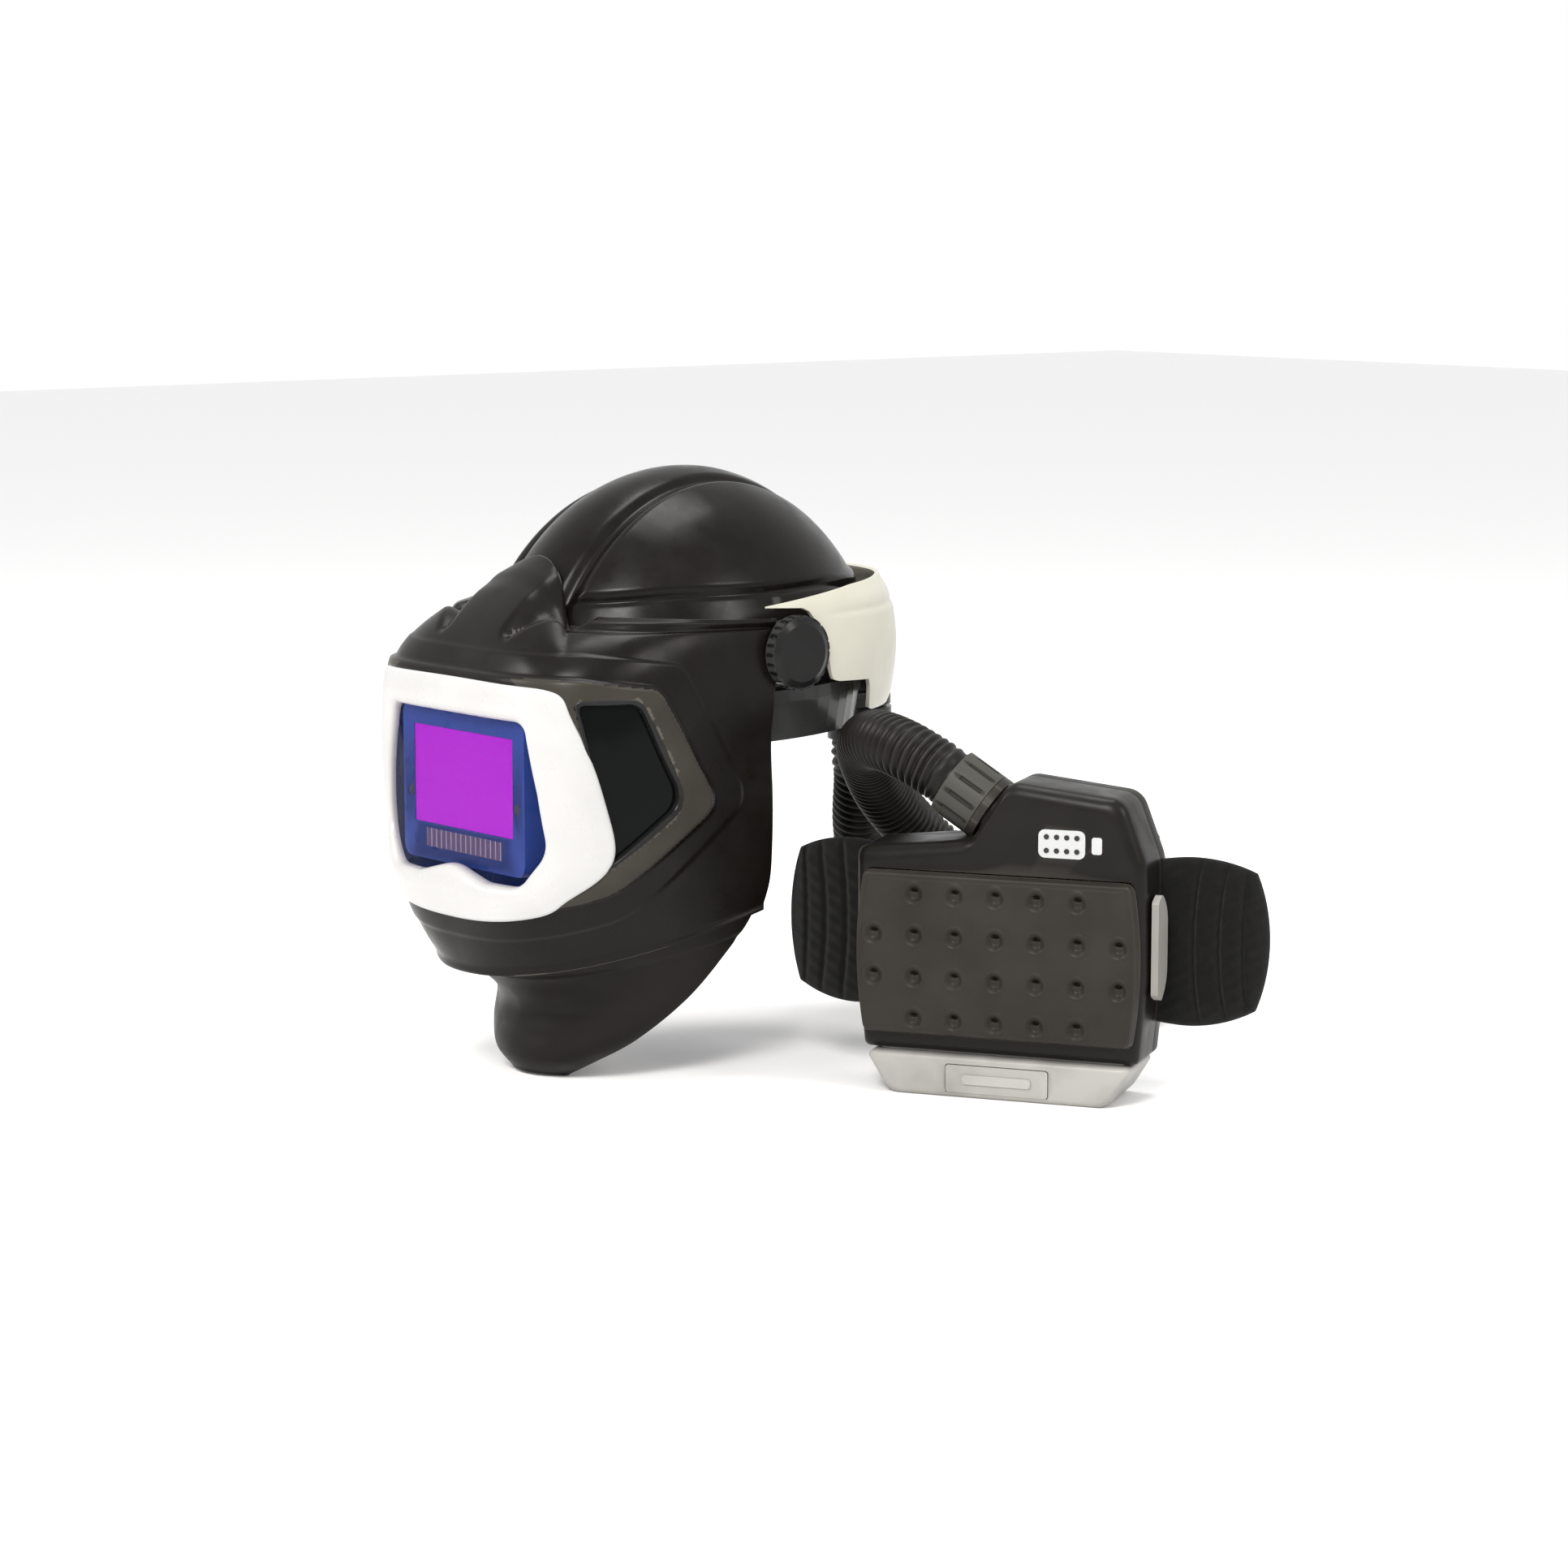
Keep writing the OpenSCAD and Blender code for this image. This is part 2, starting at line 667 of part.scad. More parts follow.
module front_housing() {
    color([0.13, 0.12, 0.11]) in_blower() difference() {
        union() {
            difference() {
                slab(housing_outline(0), blower_front, 9.7);
                slab(housing_outline(blower_wall), blower_front + blower_wall, 12);
            }
            slab(rounded([[-88, bay_low - 2.5, 3], [88, bay_low - 2.5, 3], [90, bay_high + 2.5, 3],
                [-90, bay_high + 2.5, 3]]), blower_front + 1, bulkhead + 2);
        }
        slab(rounded([[-86, bay_low, 5], [86, bay_low, 5], [86, bay_high, 5], [-86, bay_high, 5]]), -40, bulkhead);
        translate([fan_at.x, -10, fan_at.y]) rotate([-90, 0, 0]) cylinder(h = 20, r = 26);
        slab(rounded([[25, 153, 4], [55, 153, 4], [55, 171, 4], [25, 171, 4]]), -40, -20);
        slab(rounded([[58.6, 156.6, 1.5], [65.4, 156.6, 1.5], [65.4, 167.4, 1.5], [58.6, 167.4, 1.5]]), -40, -20);
        at_outlet() cylinder(h = 60, r = cuff_r - 3.4);
        battery_slot();
    }
}

module back_housing() {
    color([0.12, 0.11, 0.1]) in_blower() difference() {
        slab(housing_outline(0), 10, blower_back);
        slab(housing_outline(blower_wall), 9, blower_back - blower_wall);
        at_outlet() cylinder(h = 60, r = cuff_r - 3.4);
        battery_slot();
        screw_places() {
            translate([0, 0, -1]) cylinder(h = 3.5, r = 3.6);
            cylinder(h = 20, r = 1.7);
        }
    }
}

module housing_screws() {
    color([0.55, 0.55, 0.57]) in_blower() screw_places() translate([0, 0, 0.6]) difference() {
        union() {
            cylinder(h = 1.8, r = 3.3);
            cylinder(h = 16, r = 1.5);
        }
        translate([0, 0, -1]) cylinder(h = 2, r = 1.6, $fn = 6);
    }
}

// The socket that the hose's cuff locks into, square to the slanting outlet
module outlet_port() {
    color([0.11, 0.11, 0.1]) in_blower() at_outlet() difference() {
        union() {
            translate([0, 0, 14]) cylinder(h = 22, r = cuff_r - 3.5);
            translate([0, 0, 18.6]) cylinder(h = 5.2, r = cuff_r);
        }
        translate([0, 0, 10]) cylinder(h = 40, r = cuff_r - 6.5);
    }
}

// The bayonet cuff on the blower's end of the hose
module blower_cuff() {
    color([0.27, 0.28, 0.25]) in_blower() at_outlet() difference() {
        translate([0, 0, 24.2]) cylinder(h = 26, r = cuff_r);
        translate([0, 0, 20]) cylinder(h = 18.2, r = cuff_r - 3.5 + fit);
        translate([0, 0, 30]) cylinder(h = 30, r = 14);
        for (k = [0:11]) rotate([0, 0, 30 * k]) translate([cuff_r + 0.8, 0, 28]) cylinder(h = 16, r = 1.6, $fn = 16);
    }
}

// The cuff on the helmet's end of the hose, pushed over the inlet port
module helmet_cuff() {
    color([0.1, 0.1, 0.1]) in_helmet() translate(port_at) difference() {
        translate([0, 0, 190.3]) cylinder(h = 21.7, r = cuff_r);
        translate([0, 0, 195.8]) cylinder(h = 30, r = port_r + fit);
        translate([0, 0, 180]) cylinder(h = 30, r = 14);
    }
}

// The hinged cover with its rows of dimples
module filter_cover() {
    color([0.2, 0.19, 0.17]) in_blower() difference() {
        slab(rounded([[-85, bay_low + 0.4, 4], [85, bay_low + 0.4, 4], [91, 88, 90], [86, bay_high - 0.4, 4],
            [-86, bay_high - 0.4, 4], [-91, 88, 90]]), -36, blower_front - 0.3);
        slab(rounded([[-80, bay_low + 4, 4], [80, bay_low + 4, 4], [80, bay_high - 4, 4],
            [-80, bay_high - 4, 4]]), -33, -20);
        for (row = [0:3])
            for (k = [-(row % 3 == 0 ? 2 : 3):(row % 3 == 0 ? 2 : 3)])
                translate([k * dimple_pitch, -40.5, 127 - row * dimple_pitch]) sphere(r = dimple_r, $fn = 24);
    }
}

module cover_latch() {
    color([0.45, 0.45, 0.43]) in_blower() translate([blower_half + 1.6, -8, 0])
        side_slab(rounded([[-12, 70, 3], [-3, 66, 4], [10, 76, 20], [10, 122, 20], [-3, 132, 4], [-12, 128, 3]]), 0, 4.4);
}

module filter_frame(half_w, half_h, y0, y1) {
    slab(rounded([[-half_w, 89.5 - half_h, 4], [half_w, 89.5 - half_h, 4], [half_w, 89.5 + half_h, 4],
        [-half_w, 89.5 + half_h, 4]]), y0, y1);
}

module spark_arrestor() {
    color([0.6, 0.6, 0.62]) in_blower() filter_frame(82, 48, -27.2, -25.6);
}

module particle_filter() {
    color([0.93, 0.93, 0.9]) in_blower() filter_frame(82, 48, -25.2, -5.2);
}

module filter_gasket() {
    color([0.2, 0.2, 0.2]) in_blower() difference() {
        filter_frame(82, 48, -5, -2.2);
        filter_frame(76, 42, -6, 0);
    }
}

// The scroll that collects the air round the fan, with its throat towards the outlet
module fan_volute() {
    c = fan_at;
    color([0.25, 0.25, 0.25]) in_blower() difference() {
        translate([c.x, 2.3, c.y]) rotate([-90, 0, 0]) cylinder(h = 19, r = 46);
        translate([c.x, 4.3, c.y]) rotate([-90, 0, 0]) cylinder(h = 14.7, r = 43);
        translate([c.x, 0, c.y]) rotate([-90, 0, 0]) cylinder(h = 10, r = 25);
        translate([c.x, 10, c.y]) rotate([-90, 0, 0]) cylinder(h = 20, r = 16.2);
        translate([c.x - 40, 6, c.y + 10]) cube([22, 14, 60]);
    }
}

module impeller() {
    color([0.8, 0.8, 0.8]) in_blower() translate([fan_at.x, 0, fan_at.y]) rotate([-90, 0, 0]) {
        difference() {
            union() {
                translate([0, 0, 14]) cylinder(h = 2, r = 38);
                translate([0, 0, 5.5]) cylinder(h = 9, r = 6);
                for (k = [0:15]) rotate([0, 0, 22.5 * k]) translate([20, -1, 6]) rotate([0, 0, 28])
                    cube([17, 1.4, 8.5]);
            }
            translate([0, 0, 0]) cylinder(h = 30, r = 2 + fit);
        }
    }
}

module fan_motor() {
    color([0.3, 0.3, 0.32]) in_blower() translate([fan_at.x, 0, fan_at.y]) rotate([-90, 0, 0]) {
        translate([0, 0, 17]) cylinder(h = 7.2, r = 16);
        translate([0, 0, 7]) cylinder(h = 10.5, r = 2);
    }
}

module circuit_board() {
    color([0.1, 0.35, 0.18]) in_blower() difference() {
        slab(rounded([[2, 149, 2], [76, 149, 2], [76, 184, 2], [2, 184, 2]]), -19, -17.4);
        for (x = [8, 70]) translate([x, -25, 179]) rotate([-90, 0, 0]) cylinder(h = 20, r = 1.6);
    }
}

module keypad() {
    color([0.95, 0.95, 0.95]) in_blower() union() {
        slab(rounded([[25.3, 153.3, 4], [54.7, 153.3, 4], [54.7, 170.7, 4], [25.3, 170.7, 4]]), -28.6, -25);
        for (x = [0:3], z = [0:1])
            translate([30.4 + 6.4 * x, -29.1, 157.8 + 8.4 * z]) rotate([-90, 0, 0]) cylinder(h = 2, r = 1.6, $fn = 16);
    }
}

module status_light() {
    color([0.95, 0.95, 0.92]) in_blower()
        slab(rounded([[58.8, 156.8, 1.5], [65.2, 156.8, 1.5], [65.2, 167.2, 1.5], [58.8, 167.2, 1.5]]), -28.4, -24);
}

module battery_pack() {
    color([0.63, 0.62, 0.59]) in_blower() difference() {
        union() {
            slab(rounded([[-70, 0, 14], [70, 0, 14], [86, battery_h, 3], [-86, battery_h, 3]]), -29, 26);
            translate([-78, -20, battery_h - 1]) cube([156, 40, 5]);
        }
        translate([-33, -32, 3]) cube([66, 6.6, 18]);
        for (x = [-10:5:10]) translate([x - 1, -4, battery_h + 2]) cube([2, 10, 4]);
    }
}

module battery_latch() {
    color([0.66, 0.65, 0.62]) in_blower() union() {
        slab(rounded([[-32.6, 3.4, 2], [32.6, 3.4, 2], [32.6, 20.6, 2], [-32.6, 20.6, 2]]), -29.4, -27.8);
        slab(rounded([[-22, 9, 2], [22, 9, 2], [22, 15, 2], [-22, 15, 2]]), -30.3, -29);
    }
}

// ---------- belt ----------
// Plan of one pad, curving back round the waist
function pad_curve(x, d) = [x, 16 + d + 16 * pow(max(0, x - 80) / (pad_half - 80), 2)];

module belt_pad() {
    plan = concat(
        [for (x = [60:8:pad_half]) pad_curve(x, -7)],
        [for (x = [pad_half - 1:-8:60]) pad_curve(x, 7)]
    );
    intersection() {
        translate([0, 0, 40]) linear_extrude(120) polygon(plan);
        slab(rounded([[94.5, 50, 4], [110, 44, 8], [pad_half, 46, 24], [pad_half, 152, 28], [94.5, 150, 6]]), 0, 90);
    }
}

module belt_pad_left() {
    color([0.08, 0.08, 0.08]) in_blower() mirror([1, 0, 0]) belt_pad();
}

module belt_pad_right() {
    color([0.08, 0.08, 0.08]) in_blower() belt_pad();
}

// Plan of the closed belt, folded flat behind the pads
BELT = [[129, 33.6], [138, 42], [142, 55], [135, 69], [112, 76], [60, 79], [0, 80]];

function belt_side(m, grow) = [for (k = [0:24])
    let (
        t = 6 * k / 24,
        p = smooth_at(BELT, t),
        d = unit(smooth_at(BELT, min(t + 0.1, 6)) - smooth_at(BELT, max(t - 0.1, 0)))
    )
    [m * (p.x + grow * d.y), p.y - grow * d.x]];

module belt_webbing() {
    z0 = 98 - webbing_w / 2;
    color([0.09, 0.09, 0.09]) in_blower() translate([0, 0, z0]) linear_extrude(webbing_w) for (m = [1, -1])
        difference() {
            polygon(concat(belt_side(m, 1.2), [for (k = [24:-1:0]) belt_side(m, -1.2)[k]]));
            translate([-24, 60]) square([48, 40]);
        }
}

module buckle_socket() {
    color([0.1, 0.1, 0.1]) in_blower() difference() {
        translate([-30, 74, 70]) cube([36, 12, 56]);
        translate([-32, 78.5, 73.5]) cube([8.3, 3, 49]);
        translate([-20, 77, 75]) cube([30, 6, 46]);
    }
}

// The plug's two sprung arms are one moulding with its bar
module buckle_plug() {
    color([0.12, 0.12, 0.12]) in_blower() difference() {
        union() {
            translate([6.3, 74, 70]) cube([24, 12, 56]);
            translate([-14, 77.3, 75.3]) cube([22, 5.4, 10]);
            translate([-14, 77.3, 110.7]) cube([22, 5.4, 10]);
        }
        translate([23.8, 78.5, 73.5]) cube([8, 3, 49]);
    }
}

hard_hat_shell();
hat_rim_trim();
headband();
sweatband();
crown_straps();
ratchet_housing();
ratchet_knob();
nape_pad();
nape_frame();
pivot_brackets();
pivot_pins();
pivot_knob_left();
pivot_knob_right();
rear_cover();
air_duct();
inlet_port();
visor_shell();
visor_hubs();
front_frame();
cover_plate();
filter_body();
filter_glass();
solar_cell();
light_sensors();
filter_coin_cells();
shade_button();
sensitivity_button();
delay_button();
inner_plate();
side_window_left();
side_window_right();
face_seal();
throat_guard();
breathing_hose();
helmet_cuff();
blower_cuff();
front_housing();
back_housing();
outlet_port();
filter_cover();
spark_arrestor();
particle_filter();
filter_gasket();
fan_volute();
impeller();
fan_motor();
circuit_board();
keypad();
status_light();
cover_latch();
battery_pack();
battery_latch();
housing_screws();
belt_pad_left();
belt_pad_right();
belt_webbing();
buckle_socket();
buckle_plug();
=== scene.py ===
import math

import bpy
import numpy as np
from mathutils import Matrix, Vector
from mathutils.bvhtree import BVHTree


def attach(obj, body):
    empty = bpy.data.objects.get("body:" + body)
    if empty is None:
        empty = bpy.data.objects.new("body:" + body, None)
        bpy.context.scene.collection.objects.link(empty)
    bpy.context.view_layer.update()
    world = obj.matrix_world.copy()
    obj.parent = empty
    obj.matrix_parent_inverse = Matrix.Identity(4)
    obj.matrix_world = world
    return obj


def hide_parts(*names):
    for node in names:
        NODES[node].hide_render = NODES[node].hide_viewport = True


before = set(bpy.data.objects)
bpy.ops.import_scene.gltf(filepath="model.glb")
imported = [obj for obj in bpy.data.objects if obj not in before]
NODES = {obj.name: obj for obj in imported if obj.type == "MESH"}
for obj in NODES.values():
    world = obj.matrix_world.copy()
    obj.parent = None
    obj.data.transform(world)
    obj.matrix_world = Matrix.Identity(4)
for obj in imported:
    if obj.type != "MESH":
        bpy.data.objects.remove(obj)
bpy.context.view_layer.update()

MM = 0.001
HELMET = np.array([-235.0, -72.0, 0.0])
BLOWER_TURN = math.radians(30)


# ---------- places ----------
def in_helmet(p):
    return np.asarray(p, float) + HELMET


def in_blower(p):
    p = np.asarray(p, float)
    c, s = math.cos(BLOWER_TURN), math.sin(BLOWER_TURN)
    return np.stack([p[..., 0] * c - p[..., 1] * s, p[..., 0] * s + p[..., 1] * c, p[..., 2]], -1)


def in_world(p):
    return np.asarray(p, float)


# ---------- small maths ----------
def signed_pow(v, e):
    return np.sign(v) * np.abs(v) ** e


def step(x, a, b):
    """0 below a, 1 above b and smooth between."""
    t = np.clip((x - a) / (b - a), 0, 1)
    return t * t * (3 - 2 * t)


def smooth_at(table, t):
    """Smooth curve through the rows of table at places t."""
    table = np.asarray(table, float)
    t = np.asarray(t, float)
    last = len(table) - 1
    k = np.minimum(np.floor(t).astype(int), last - 1)
    s = (t - k)[..., None]
    a, b = table[np.maximum(k - 1, 0)], table[k]
    c, d = table[k + 1], table[np.minimum(k + 2, last)]
    return 0.5 * (2 * b + (c - a) * s + (2 * a - 5 * b + 4 * c - d) * s**2 + (3 * b - a - 3 * c + d) * s**3)


def unit(v):
    return v / np.maximum(np.linalg.norm(v, axis=-1, keepdims=True), 1e-9)


def rounded(corners, n=8):
    """The closed outline through [x, y, radius] corners."""
    out = []
    m = len(corners)
    for i in range(m):
        p0, p1, p2 = (np.array(corners[(i + k) % m], float) for k in (-1, 0, 1))
        r = p1[2]
        a, b = unit(p0[:2] - p1[:2]), unit(p2[:2] - p1[:2])
        half = math.acos(np.clip(a @ b, -1, 1)) / 2
        c = p1[:2] + unit(a + b) * r / math.sin(half)
        s, e = p1[:2] + a * r / math.tan(half) - c, p1[:2] + b * r / math.tan(half) - c
        start = math.atan2(s[1], s[0])
        sweep = (math.atan2(e[1], e[0]) - start + 3 * math.pi) % (2 * math.pi) - math.pi
        for k in range(n + 1):
            ang = start + sweep * k / n
            out.append(c + r * np.array([math.cos(ang), math.sin(ang)]))
    return np.array(out)


def star(outline, centre, angles):
    """Points of a closed outline seen from centre at the given angles."""
    rel = outline - np.asarray(centre, float)
    nxt = np.roll(rel, -1, axis=0)
    d = np.stack([np.cos(angles), np.sin(angles)], -1)
    edge = nxt - rel
    den = d[:, None, 0] * edge[None, :, 1] - d[:, None, 1] * edge[None, :, 0]
    den = np.where(np.abs(den) < 1e-9, 1e-9, den)
    t = (rel[None, :, 0] * edge[None, :, 1] - rel[None, :, 1] * edge[None, :, 0]) / den
    u = (rel[None, :, 0] * d[:, None, 1] - rel[None, :, 1] * d[:, None, 0]) / den
    t = np.where((u >= -1e-6) & (u <= 1 + 1e-6) & (t > 0), t, 1e9)
    r = t.min(1)
    return np.asarray(centre, float) + d * r[:, None]


def inside(outline, p):
    """Signed distance in of points p from a closed outline: positive inside."""
    a, b = outline, np.roll(outline, -1, axis=0)
    ab = b - a
    shape = p.shape[:-1]
    q = p.reshape(-1, 2)
    out = np.empty(len(q))
    for lo in range(0, len(q), 20000):
        c = q[lo : lo + 20000]
        ap = c[:, None] - a[None]
        t = np.clip((ap * ab[None]).sum(-1) / np.maximum((ab * ab).sum(-1), 1e-12), 0, 1)
        dist = np.sqrt((((ap - t[..., None] * ab[None]) ** 2).sum(-1)).min(1))
        cross = (a[None, :, 1] > c[:, None, 1]) != (b[None, :, 1] > c[:, None, 1])
        dy = np.where(np.abs(b[:, 1] - a[:, 1]) < 1e-12, 1e-12, b[:, 1] - a[:, 1])
        xs = a[None, :, 0] + (c[:, None, 1] - a[None, :, 1]) * ab[None, :, 0] / dy[None]
        odd = (cross & (c[:, None, 0] < xs)).sum(1) % 2 == 1
        out[lo : lo + 20000] = np.where(odd, dist, -dist)
    return out.reshape(shape)


def normals(grid, closed=False):
    """Unit normals of a grid of points."""
    if closed:
        du = np.roll(grid, -1, axis=1) - np.roll(grid, 1, axis=1)
    else:
        du = np.gradient(grid, axis=1)
    return unit(np.cross(du, np.gradient(grid, axis=0)))


# ---------- meshes ----------
def mesh_object(name, verts, faces, place=in_world, smooth=True):
    name += "_form"
    me = bpy.data.meshes.new(name)
    me.from_pydata((place(verts) * MM).tolist(), [], [list(f) for f in faces])
    me.validate()
    me.update()
    for p in me.polygons:
        p.use_smooth = smooth
    ob = bpy.data.objects.new(name, me)
    bpy.context.scene.collection.objects.link(ob)
    return ob


def grid_faces(rows, cols, closed=False, flip=False, start=0):
    out = []
    for r in range(rows - 1):
        for c in range(cols if closed else cols - 1):
            d = (c + 1) % cols
            q = [start + r * cols + c, start + r * cols + d, start + (r + 1) * cols + d, start + (r + 1) * cols + c]
            out.append(q[::-1] if flip else q)
    return out


def modify(ob, kind, **values):
    m = ob.modifiers.new(kind.title(), kind)
    for k, v in values.items():
        setattr(m, k, v)
    return m


def plate(ob, thickness, edge=0.8, offset=-1):
    """Gives a surface a wall and rounds its rim."""
    modify(ob, "SOLIDIFY", thickness=thickness * MM, offset=offset, use_even_offset=False)
    if edge:
        modify(ob, "BEVEL", width=edge * MM, segments=2, limit_method="ANGLE", angle_limit=math.radians(50))
    return ob


def loft(name, loops, place, cap_start=False, cap_end=False):
    """A skin over closed loops with the same number of points."""
    loops = np.array(loops)
    rows, cols = loops.shape[:2]
    verts = loops.reshape(-1, 3)
    faces = grid_faces(rows, cols, closed=True)
    if cap_start:
        faces.append(list(range(cols))[::-1])
    if cap_end:
        faces.append([(rows - 1) * cols + c for c in range(cols)])
    return mesh_object(name, verts, faces, place)


def fixed(ob, body, slot, material, *nodes):
    """Puts a piece on a body in the place of its CAD nodes."""
    ob.data.materials.clear()
    ob.data.materials.append(material)
    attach(ob, body)
    if nodes:
        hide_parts(*nodes)
    return ob


def recalc(ob, outside=True):
    import bmesh

    bm = bmesh.new()
    bm.from_mesh(ob.data)
    bmesh.ops.recalc_face_normals(bm, faces=bm.faces)
    bm.to_mesh(ob.data)
    bm.free()
    return ob


# ---------- camera ----------
TARGET = Vector((-0.1927, -0.0216, 0.173))
BACK = Vector((0.7576, -0.6357, 0.1478)).normalized()
cam_data = bpy.data.cameras.new("camera")
cam_data.lens = 92.05
cam_data.sensor_width = 36
cam_data.clip_end = 50
camera = bpy.data.objects.new("camera", cam_data)
bpy.context.scene.collection.objects.link(camera)
camera.location = TARGET + BACK * 2.6
camera.rotation_euler = (-BACK).to_track_quat("-Z", "Y").to_euler()
bpy.context.scene.camera = camera


# ---------- materials ----------
class Shader:
    """A procedural material on one Principled shader."""

    def __init__(self, name, color, rough=0.4, **values):
        self.mat = bpy.data.materials.new(name)
        self.mat.use_nodes = True
        self.nt = self.mat.node_tree
        self.bsdf = self.nt.nodes["Principled BSDF"]
        self.bsdf.inputs["Base Color"].default_value = (*color, 1)
        self.bsdf.inputs["Roughness"].default_value = rough
        for k, v in values.items():
            self.bsdf.inputs[k.replace("_", " ")].default_value = v
        self.coords = self.new("ShaderNodeTexCoord").outputs["Object"]
        self.height = None

    def new(self, kind, **values):
        n = self.nt.nodes.new(kind)
        for k, v in values.items():
            if k in ("operation", "blend_type", "wave_type", "bands_direction", "feature", "data_type", "distance"):
                setattr(n, k, v)
            else:
                n.inputs[k.replace("_", " ")].default_value = v
        return n

    def link(self, a, b):
        self.nt.links.new(a, b)

    def noise(self, scale, detail=3, rough=0.5, stretch=None):
        n = self.new("ShaderNodeTexNoise", Scale=scale, Detail=detail, Roughness=rough)
        if stretch:
            m = self.new("ShaderNodeMapping")
            m.inputs["Scale"].default_value = stretch
            self.link(self.coords, m.inputs["Vector"])
            self.link(m.outputs["Vector"], n.inputs["Vector"])
        else:
            self.link(self.coords, n.inputs["Vector"])
        return n.outputs["Fac"]

    def ramp(self, fac, stops):
        r = self.new("ShaderNodeValToRGB")
        e = r.color_ramp.elements
        while len(e) < len(stops):
            e.new(0.5)
        for el, (pos, col) in zip(e, stops):
            el.position = pos
            el.color = (*col, 1) if len(col) == 3 else col
        self.link(fac, r.inputs["Fac"])
        return r.outputs["Color"]

    def grey(self, fac, lo, hi, low=0.0, high=1.0):
        m = self.new("ShaderNodeMapRange")
        for k, v in zip(("From Min", "From Max", "To Min", "To Max"), (low, high, lo, hi)):
            m.inputs[k].default_value = v
        self.link(fac, m.inputs["Value"])
        return m.outputs["Result"]

    def color_from(self, socket):
        self.link(socket, self.bsdf.inputs["Base Color"])
        return self

    def rough_from(self, socket):
        self.link(socket, self.bsdf.inputs["Roughness"])
        return self

    def bump(self, socket, strength, depth):
        b = self.new("ShaderNodeBump", Strength=strength, Distance=depth)
        self.link(socket, b.inputs["Height"])
        if self.height is not None:
            self.link(self.height, b.inputs["Normal"])
        self.height = b.outputs["Normal"]
        self.link(self.height, self.bsdf.inputs["Normal"])
        return self

    def worn(self, base, worn, amount=0.5):
        """Colour with a cloudy variation and lighter worn edges."""
        pale = max(base) > 0.3
        dark = tuple(c * (0.97 if pale else 0.86) for c in base)
        light = tuple(min(1, c * (1.02 if pale else 1.12)) for c in base)
        cloud = self.ramp(self.noise(28, 4), [(0.35, dark), (0.65, light)])
        geo = self.new("ShaderNodeNewGeometry")
        edge = self.grey(geo.outputs["Pointiness"], 0, amount, 0.53, 0.6)
        mix = self.new("ShaderNodeMix", data_type="RGBA")
        mix.inputs["B"].default_value = (*worn, 1)
        self.link(edge, mix.inputs["Factor"])
        sockets = [s for s in mix.inputs if s.type == "RGBA"]
        self.link(cloud, sockets[0])
        sockets[1].default_value = (*worn, 1)
        self.link([s for s in mix.outputs if s.type == "RGBA"][0], self.bsdf.inputs["Base Color"])
        return self


def moulded(name, color, rough, worn, grain=900, depth=0.00006, strength=0.25, amount=0.45, **values):
    """Injection-moulded plastic: fine grain, cloudy gloss, worn edges."""
    s = Shader(name, color, rough, **values)
    s.bsdf.inputs["Specular IOR Level"].default_value = 0.5 if max(color) > 0.1 else 0.13
    s.worn(color, worn, amount)
    s.rough_from(s.grey(s.noise(60, 4), rough - 0.06, rough + 0.08, 0.3, 0.7))
    s.bump(s.noise(grain, 2), strength, depth)
    s.bump(s.noise(14, 2), 0.08, 0.002)
    return s.mat


def woven(name, color, light, pitch=1100, depth=0.0004):
    """Plain weave: two crossed sets of yarns with loose fibres."""
    s = Shader(name, color, 0.85)
    s.bsdf.inputs["Sheen Weight"].default_value = 0.06
    s.bsdf.inputs["Specular IOR Level"].default_value = 0.12
    waves = []
    for direction in ("X", "Z"):
        w = s.new("ShaderNodeTexWave", wave_type="BANDS", bands_direction=direction, Scale=pitch, Distortion=0.6)
        s.link(s.coords, w.inputs["Vector"])
        waves.append(w.outputs["Fac"])
    m = s.new("ShaderNodeMath", operation="MAXIMUM")
    s.link(waves[0], m.inputs[0])
    s.link(waves[1], m.inputs[1])
    s.color_from(s.ramp(s.noise(180, 5, 0.7), [(0.3, color), (0.75, light)]))
    s.bump(m.outputs["Value"], 0.55, depth)
    s.bump(s.noise(2600, 3), 0.4, 0.0002)
    return s.mat


SHELL = (0.0042, 0.0034, 0.0028)
shell_mat = moulded("shell", SHELL, 0.29, (0.11, 0.10, 0.09), strength=0.2)
hat_mat = moulded("hat", SHELL, 0.26, (0.12, 0.105, 0.09), strength=0.18)
# The raised band round the side windows gets a lighter colour than the shell: a painted highlight for the light falling
# on the band
band_highlight_mat = moulded("window_band_painted_highlight", (0.027, 0.024, 0.0195), 0.34, (0.12, 0.11, 0.09), strength=0.2)
throat_mat = moulded("throat", (0.006, 0.0048, 0.0042), 0.42, (0.06, 0.052, 0.046), grain=500, depth=0.0001)
white_mat = moulded("white_frame", (0.39, 0.39, 0.386), 0.3, (0.46, 0.46, 0.46), grain=700, strength=0.1, amount=0.2)
white_mat.node_tree.nodes["Principled BSDF"].inputs["Subsurface Weight"].default_value = 0.06
cream_mat = moulded("cream", (0.42, 0.41, 0.345), 0.34, (0.5, 0.49, 0.43), grain=700, strength=0.12, amount=0.2)
black_mat = moulded("black_nylon", (0.012, 0.012, 0.012), 0.48, (0.07, 0.07, 0.07), grain=1300, depth=0.0001)
gloss_mat = moulded("black_gloss", (0.008, 0.008, 0.008), 0.22, (0.06, 0.06, 0.06), strength=0.12)
housing_mat = moulded("housing", (0.0062, 0.0053, 0.0044), 0.34, (0.09, 0.082, 0.07), strength=0.25)
cover_mat = moulded("cover_grey", (0.018, 0.0158, 0.0128), 0.42, (0.16, 0.145, 0.12), grain=800, strength=0.3)
latch_mat = moulded("latch_grey", (0.155, 0.148, 0.135), 0.38, (0.28, 0.27, 0.25), strength=0.25)
